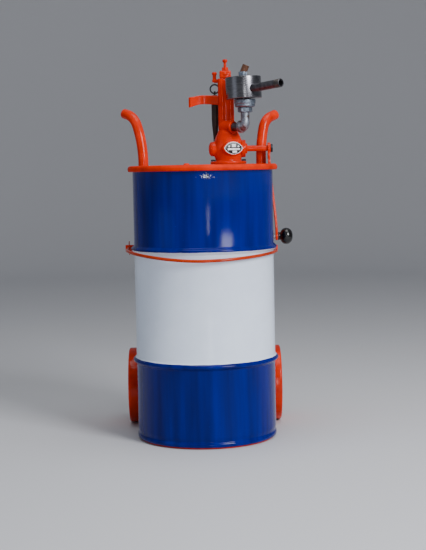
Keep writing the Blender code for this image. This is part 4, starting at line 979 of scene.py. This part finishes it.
def makeOutlet():
    o = outletShape
    centre, along = o["elbow"], o["along"]
    mouth = centre - along * o["reach"]
    nipple = turnedMesh([(o["nipple"] - 0.0006, 0.0425, 0.0004), (o["nipple"], 0.0417, 0.0004),
                         (o["nipple"], 0, 0), (o["bore"], 0, 0), (o["bore"], 0.0425, 0)], 48,
                        matrix=aim(centre - along * 0.054, along))
    newObject("outletNipple", nipple, blackPipe, "root", ["outlet_nipple"])
    low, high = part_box("elbow")
    top = high[2]
    path = [mouth + along * 0.003, mouth + along * 0.0045]
    path += bend(path[-1], along, o["reach"] - 0.0045, (0, 0, 1), 20)
    path += [Vector((centre.x, centre.y, 0.812)), Vector((centre.x, centre.y, top))]
    loops = []
    for i, point in enumerate(path):
        ahead = (path[min(i + 1, len(path) - 1)] - path[max(i - 1, 0)]).normalized()
        across = along.cross(Vector((0, 0, 1))).normalized()
        upward = ahead.cross(across)
        radius = 0.0138 - 0.0026 * max(0.0, min(1.0, (point.z - 0.7965) / 0.012)) ** 0.8
        ring = [point + across * radius * cos(2 * pi * k / 56) + upward * radius * sin(2 * pi * k / 56)
                for k in range(56)]
        loops.append(ring)
    elbow = loftMesh(loops)
    band = turnedMesh([(0, 0.0115, 0), (0.0138, 0.0115, 0), (0.0160, 0.0085, 0.002), (0.0160, 0, 0.0008),
                       (0, 0, 0)], 64, closed=False, matrix=aim(mouth, along))
    elbow = solved(elbow, [("BOOLEAN", {"operation": "UNION", "solver": "EXACT", "object": band})])
    way = barMesh([mouth - along * 0.005] + path[1:-1] + [path[-1] + Vector((0, 0, 0.01))], 0.0085,
                  elbowZinc, 32)
    elbow = less(elbow, way, rodMesh(o["nipple"] + 0.0003, mouth - along * 0.01, along, 0.0175, 48))
    newObject("elbowFitting", elbow, elbowZinc, "root", ["elbow"], 40)
    low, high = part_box("hex_bushing")
    bushingAt = aim((centre.x, centre.y, low[2]), (0, 0, 1)) @ Matrix.Rotation(radians(30), 4, "Z")
    newObject("hexBushing", hexMesh(0.033, high[2] - low[2], 0.0085, bushingAt, 0.0014), galvanised, "root",
              ["hex_bushing"])
    low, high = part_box("reducer")
    base, tall = low[2], high[2] - low[2]
    outline = [(0.0262, tall, 0.0008), (0.0275, tall - 0.0020, 0.001), (0.0275, 0.0100, 0.0012),
               (0.0260, 0.0080, 0.0008), (0.0262, 0.0030, 0.0015), (0.0235, 0, 0.002), (0.0130, 0, 0),
               (0.0130, 0.006, 0), (0.0190, 0.010, 0), (0.0190, tall, 0)]
    newObject("reducerFitting", turnedMesh(outline, 96, matrix=aim((centre.x, centre.y, base), (0, 0, 1))),
              galvanised, "root", ["reducer"])


def makePot():
    p, o = potShape, outletShape
    lean = Vector((sin(p["lean"]), 0, cos(p["lean"])))
    base = Vector((o["elbow"].x - 0.0020, o["elbow"].y, 0.8637 + 0.0016))
    tall = 0.9207 - 0.8637 - 0.0016
    radius, wall = p["radius"], p["wall"]
    outline = [(0.0105, tall + p["boss"], 0.0005), (0.0150, tall + p["boss"], 0.001),
               (0.0320, tall + 0.0010, 0.004), (0.0350, tall, 0.002), (radius, tall, 0.0016),
               (radius, 0.0, 0.0014), (0.019, 0, 0), (0.019, wall, 0), (radius - wall, wall, 0.002),
               (radius - wall, tall - wall, 0.002), (0.0105, tall - wall, 0)]
    pot = turnedMesh(outline, 128, matrix=aim(base, lean))
    along = p["along"]
    pot = less(pot, rodMesh(o["nipple"] + 0.0003, p["root"] - along * 0.014, along, 0.04, 48))
    newObject("canisterShell", pot, turnedIron, "root", ["canister"], 30)
    start = p["root"] - along * p["pipeIn"]
    end = p["pipeLong"]
    pipe = turnedMesh([(o["nipple"] - 0.0008, end, 0.0004), (o["nipple"] - 0.0002, end - 0.0012, 0.0003),
                       (o["nipple"] - 0.0002, 0, 0), (o["bore"], 0, 0), (o["bore"], end - 0.004, 0.001),
                       (o["bore"] + 0.0007, end, 0.0003)], 64,
                      matrix=aim(start, along))
    newObject("outletPipe", pipe, blackPipe, "root", ["outlet_pipe"])
    seed = bpy.data.meshes.new("seed")
    crests = grown(seed, ridgeTree, {"Radius": o["nipple"] - 0.0004, "Depth": 0.00055, "Length": 0.0150,
                                     "Ridges": 9, "Paint": pipeThread},
                   aim(start + along * (end - 0.0163), along))
    newObject("pipeThreads", crests, pipeThread, "root", ())
    seat = base + lean * (tall + p["boss"] + 0.0003)
    leanTop = Vector((sin(radians(23)), -0.10, cos(radians(23)))).normalized()
    stubAt = seat + lean * 0.0045
    collar = hexMesh(0.0215, 0.0095, 0.0068, aim(seat, lean), 0.0008)
    collar = less(collar, rodMesh(0.0091, stubAt - leanTop * 0.0003, leanTop, 0.03, 40))
    newObject("topCollar", collar, galvanised, "root", ["top_collar"])
    stub = turnedMesh([(0.0080, 0.0235, 0.0006), (0.0088, 0.0225, 0.0005), (0.0088, 0, 0), (0.0062, 0, 0),
                       (0.0062, 0.0235, 0.0004)], 48, matrix=aim(stubAt, leanTop))
    newObject("topNipple", stub, rustyIron, "root", ["top_nipple"])
    seed = bpy.data.meshes.new("seed")
    ridges = grown(seed, ridgeTree, {"Radius": 0.0086, "Depth": 0.00045, "Length": 0.0130, "Ridges": 10,
                                     "Paint": rustyIron}, aim(stubAt + leanTop * 0.0095, leanTop))
    newObject("nippleThreads", ridges, rustyIron, "root", ())


makeOutlet()
makePot()
print("outlet made")


# ---------- hook, lug, ring and grip
hookShape = {"start": 0.0443, "turnAt": 0.012, "radius": 0.062, "swing": radians(46), "thick": 0.006,
             "half": 0.0122}


def makeHook():
    h = hookShape
    low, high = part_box("hose_hook")
    back, middle = high[1], (low[2] + high[2]) / 2
    loops = []
    for i in range(41):
        t = i / 40
        if t < 0.3:
            x, y, turn = h["start"] + (h["turnAt"] - h["start"]) * t / 0.3, back, 0.0
        else:
            turn = h["swing"] * (t - 0.3) / 0.7
            x, y = h["turnAt"] - h["radius"] * sin(turn), back - h["radius"] * (1 - cos(turn))
        across = Vector((sin(turn), -cos(turn), 0))
        centre = Vector((x, y, middle - 0.0006 + 0.0026 * sin(pi * min(1.0, t * 1.2)) - 0.0050 * t ** 3))
        tall = h["half"] - 0.0012 * sin(pi * t) + 0.0010 * t
        loops.append(strapLoop(centre + across * h["thick"] / 2, across, Vector((0, 0, 1)), h["thick"] / 2,
                               tall, 0.0012))
    newObject("hoseHook", loftMesh(loops), orangeEnamel, "root", ["hose_hook"], 40)


def makeRingAndGrip():
    at = middleOf("hanging_ring")
    low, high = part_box("ring_lug")
    x, y = at.x, at.y
    spool = [(0, 0.941, 0), (0.0045, 0.941, 0.001), (0.0066, 0.9388, 0.001), (0.0066, 0.9350, 0.001),
             (0.0048, 0.9325, 0.002), (0.0048, 0.9230, 0.002), (0.0063, 0.9195, 0.001),
             (0.0063, 0.9145, 0.001), (0, 0.9145, 0)]
    body = turnedMesh(spool, 48, closed=False, matrix=Matrix.Translation((x, y, 0)))
    toward = Vector((0.0551 - x, 0.129 - y, 0))
    arm = rodMesh(0.0048, (x, y, 0.917), toward, toward.length - 0.0108, 32)
    eye = boxMesh((x - 0.0025, y - 0.006, 0.9034), (x + 0.0025, y + 0.006, 0.9165), 0.0015)
    lug = solved(body, [("BOOLEAN", {"operation": "UNION", "solver": "EXACT", "object": arm}),
                        ("BOOLEAN", {"operation": "UNION", "solver": "EXACT", "object": eye})])
    lug = less(lug, rodMesh(0.0027, (x - 0.02, y, at.z + 0.0115), (1, 0, 0), 0.04, 24))
    newObject("ringLug", lug, orangeEnamel, "root", ["ring_lug"])
    section = [(0.0115 + 0.002 * cos(2 * pi * i / 16), 0.002 * sin(2 * pi * i / 16), 0) for i in range(16)]
    newObject("wireRing", turnedMesh(section[::-1], 72, matrix=aim(at, (0, 1, 0))), darkSteel, "ring",
              ["hanging_ring"])
    low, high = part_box("hanging_grip")
    pin = at.z - 0.0115
    girth = (high[0] - low[0]) / 2
    outline = [(0, -0.0038, 0), (girth - 0.003, -0.0042, 0.001), (girth, -0.0085, 0.003),
               (girth, -0.070, 0.01)]
    outline += [(girth - 0.0012, -0.090, 0.01), (girth - 0.0034, -0.110, 0.01),
                (girth - 0.0040, -0.130, 0.002), (0.003, -0.1355, 0.001), (0, -0.136, 0)]
    grip = turnedMesh(outline, 56, closed=False, matrix=Matrix.Translation((x, y, pin)))
    eye = boxMesh((x - 0.0025, y - 0.0055, pin - 0.006), (x + 0.0025, y + 0.0055, pin + 0.0058), 0.0012)
    grip = solved(grip, [("BOOLEAN", {"operation": "UNION", "solver": "EXACT", "object": eye})])
    grip = less(grip, rodMesh(0.0027, (x - 0.02, y, pin), (1, 0, 0), 0.04, 24))
    newObject("hangingGrip", grip, agedRubber, "grip", ["hanging_grip"], 45)


makeHook()
makeRingAndGrip()
print("hook and grip made")


# ---------- CAD nodes that stay, with their own finishes
kept = {"pinion": brightSteel, "rack": brightSteel, "piston_rod": brightSteel, "piston": brightSteel,
        "pump_cylinder": brightSteel, "knob_spindle": brightSteel, "foot_valve_ball": brightSteel,
        "foot_valve_body": zincSteel, "suction_strainer": zincSteel, "pinion_key": darkSteel,
        "cup_leather": oiledLeather, "shaft_packing": oiledLeather, "cover_gasket": pressedCork,
        "base_gasket": pressedCork, "drum_bottom_head": drumEnamel}
for node, paint in kept.items():
    nodes[node].data.materials.clear()
    nodes[node].data.materials.append(paint)


# ---------- floor, light, camera
studio = {"floor": "#CBCCCF", "sky": "#E6EAF2", "skyPower": 0.32, "reach": 5.0, "sweep": 2.0, "tall": 5.0}


def makeStudio():
    # a pale round floor that sweeps up into a wall on every side
    reach, sweep, tall = studio["reach"], studio["sweep"], studio["tall"]
    profile = [(r, z + sweep) for r, z in arc(sweep, -pi / 2, 0, 16, x=reach)] + [(reach + sweep, tall)]
    shape = bmesh.new()
    rows = [[shape.verts.new((r * cos(2 * pi * i / 96), r * sin(2 * pi * i / 96),
                              z - 0.0002)) for i in range(96)] for r, z in profile]
    shape.faces.new(rows[0])
    for first, second in zip(rows, rows[1:]):
        for i in range(96):
            shape.faces.new((first[i], first[(i + 1) % 96], second[(i + 1) % 96], second[i]))
    floor = bpy.data.objects.new("floor", meshFrom(shape))
    floor.data.shade_smooth()
    bpy.context.scene.collection.objects.link(floor)
    made, _, shader, _ = newMaterial("paleFloor", Roughness=0.6)
    shader.inputs["Base Color"].default_value = linear(studio["floor"])
    floor.data.materials.append(made)
    world = bpy.data.worlds.new("studio")
    bpy.context.scene.world = world
    world.use_nodes = True
    sky = world.node_tree.nodes["Background"]
    sky.inputs["Color"].default_value = linear(studio["sky"])
    sky.inputs["Strength"].default_value = studio["skyPower"]


def addLight(name, at, target, size, sizeY, power, colour="#FFFFFF"):
    data = bpy.data.lights.new(name, "AREA")
    data.shape = "RECTANGLE"
    data.size, data.size_y = size, sizeY
    data.energy = power
    data.color = linear(colour)[:3]
    lamp = bpy.data.objects.new(name, data)
    bpy.context.scene.collection.objects.link(lamp)
    lamp.location = at
    lamp.rotation_mode = "QUATERNION"
    lamp.rotation_quaternion = (Vector(at) - Vector(target)).to_track_quat("Z", "Y")


def makeCamera():
    pitch, yaw, roll = radians(4.75), radians(0.39), radians(1.1)
    ahead = Vector((sin(yaw) * cos(pitch), cos(yaw) * cos(pitch), -sin(pitch)))
    right = Vector((cos(yaw), -sin(yaw), 0))
    up = right.cross(ahead)
    turnedRight = right * cos(roll) - up * sin(roll)
    turnedUp = right * sin(roll) + up * cos(roll)
    data = bpy.data.cameras.new("camera")
    data.lens = 82.15
    camera = bpy.data.objects.new("camera", data)
    bpy.context.scene.collection.objects.link(camera)
    matrix = Matrix((turnedRight, turnedUp, -ahead)).transposed().to_4x4()
    matrix.translation = Vector((0, -3.206, 0.6815))
    camera.matrix_world = matrix
    bpy.context.scene.camera = camera


makeStudio()
addLight("keyPanel", (1.8, -2.3, 2.0), (0, 0, 0.6), 1.0, 1.7, 124, "#FBFBFF")
addLight("fillPanel", (-2.2, -1.2, 1.3), (0, 0, 0.5), 1.4, 2.0, 5, "#E8F0FF")
addLight("topPanel", (0.2, -0.4, 3.0), (0, 0, 0.6), 2.0, 1.6, 34)
addLight("stripPanel", (0.42, -3.3, 0.72), (0, 0, 0.72), 0.16, 1.1, 9)
makeCamera()
print("studio made")
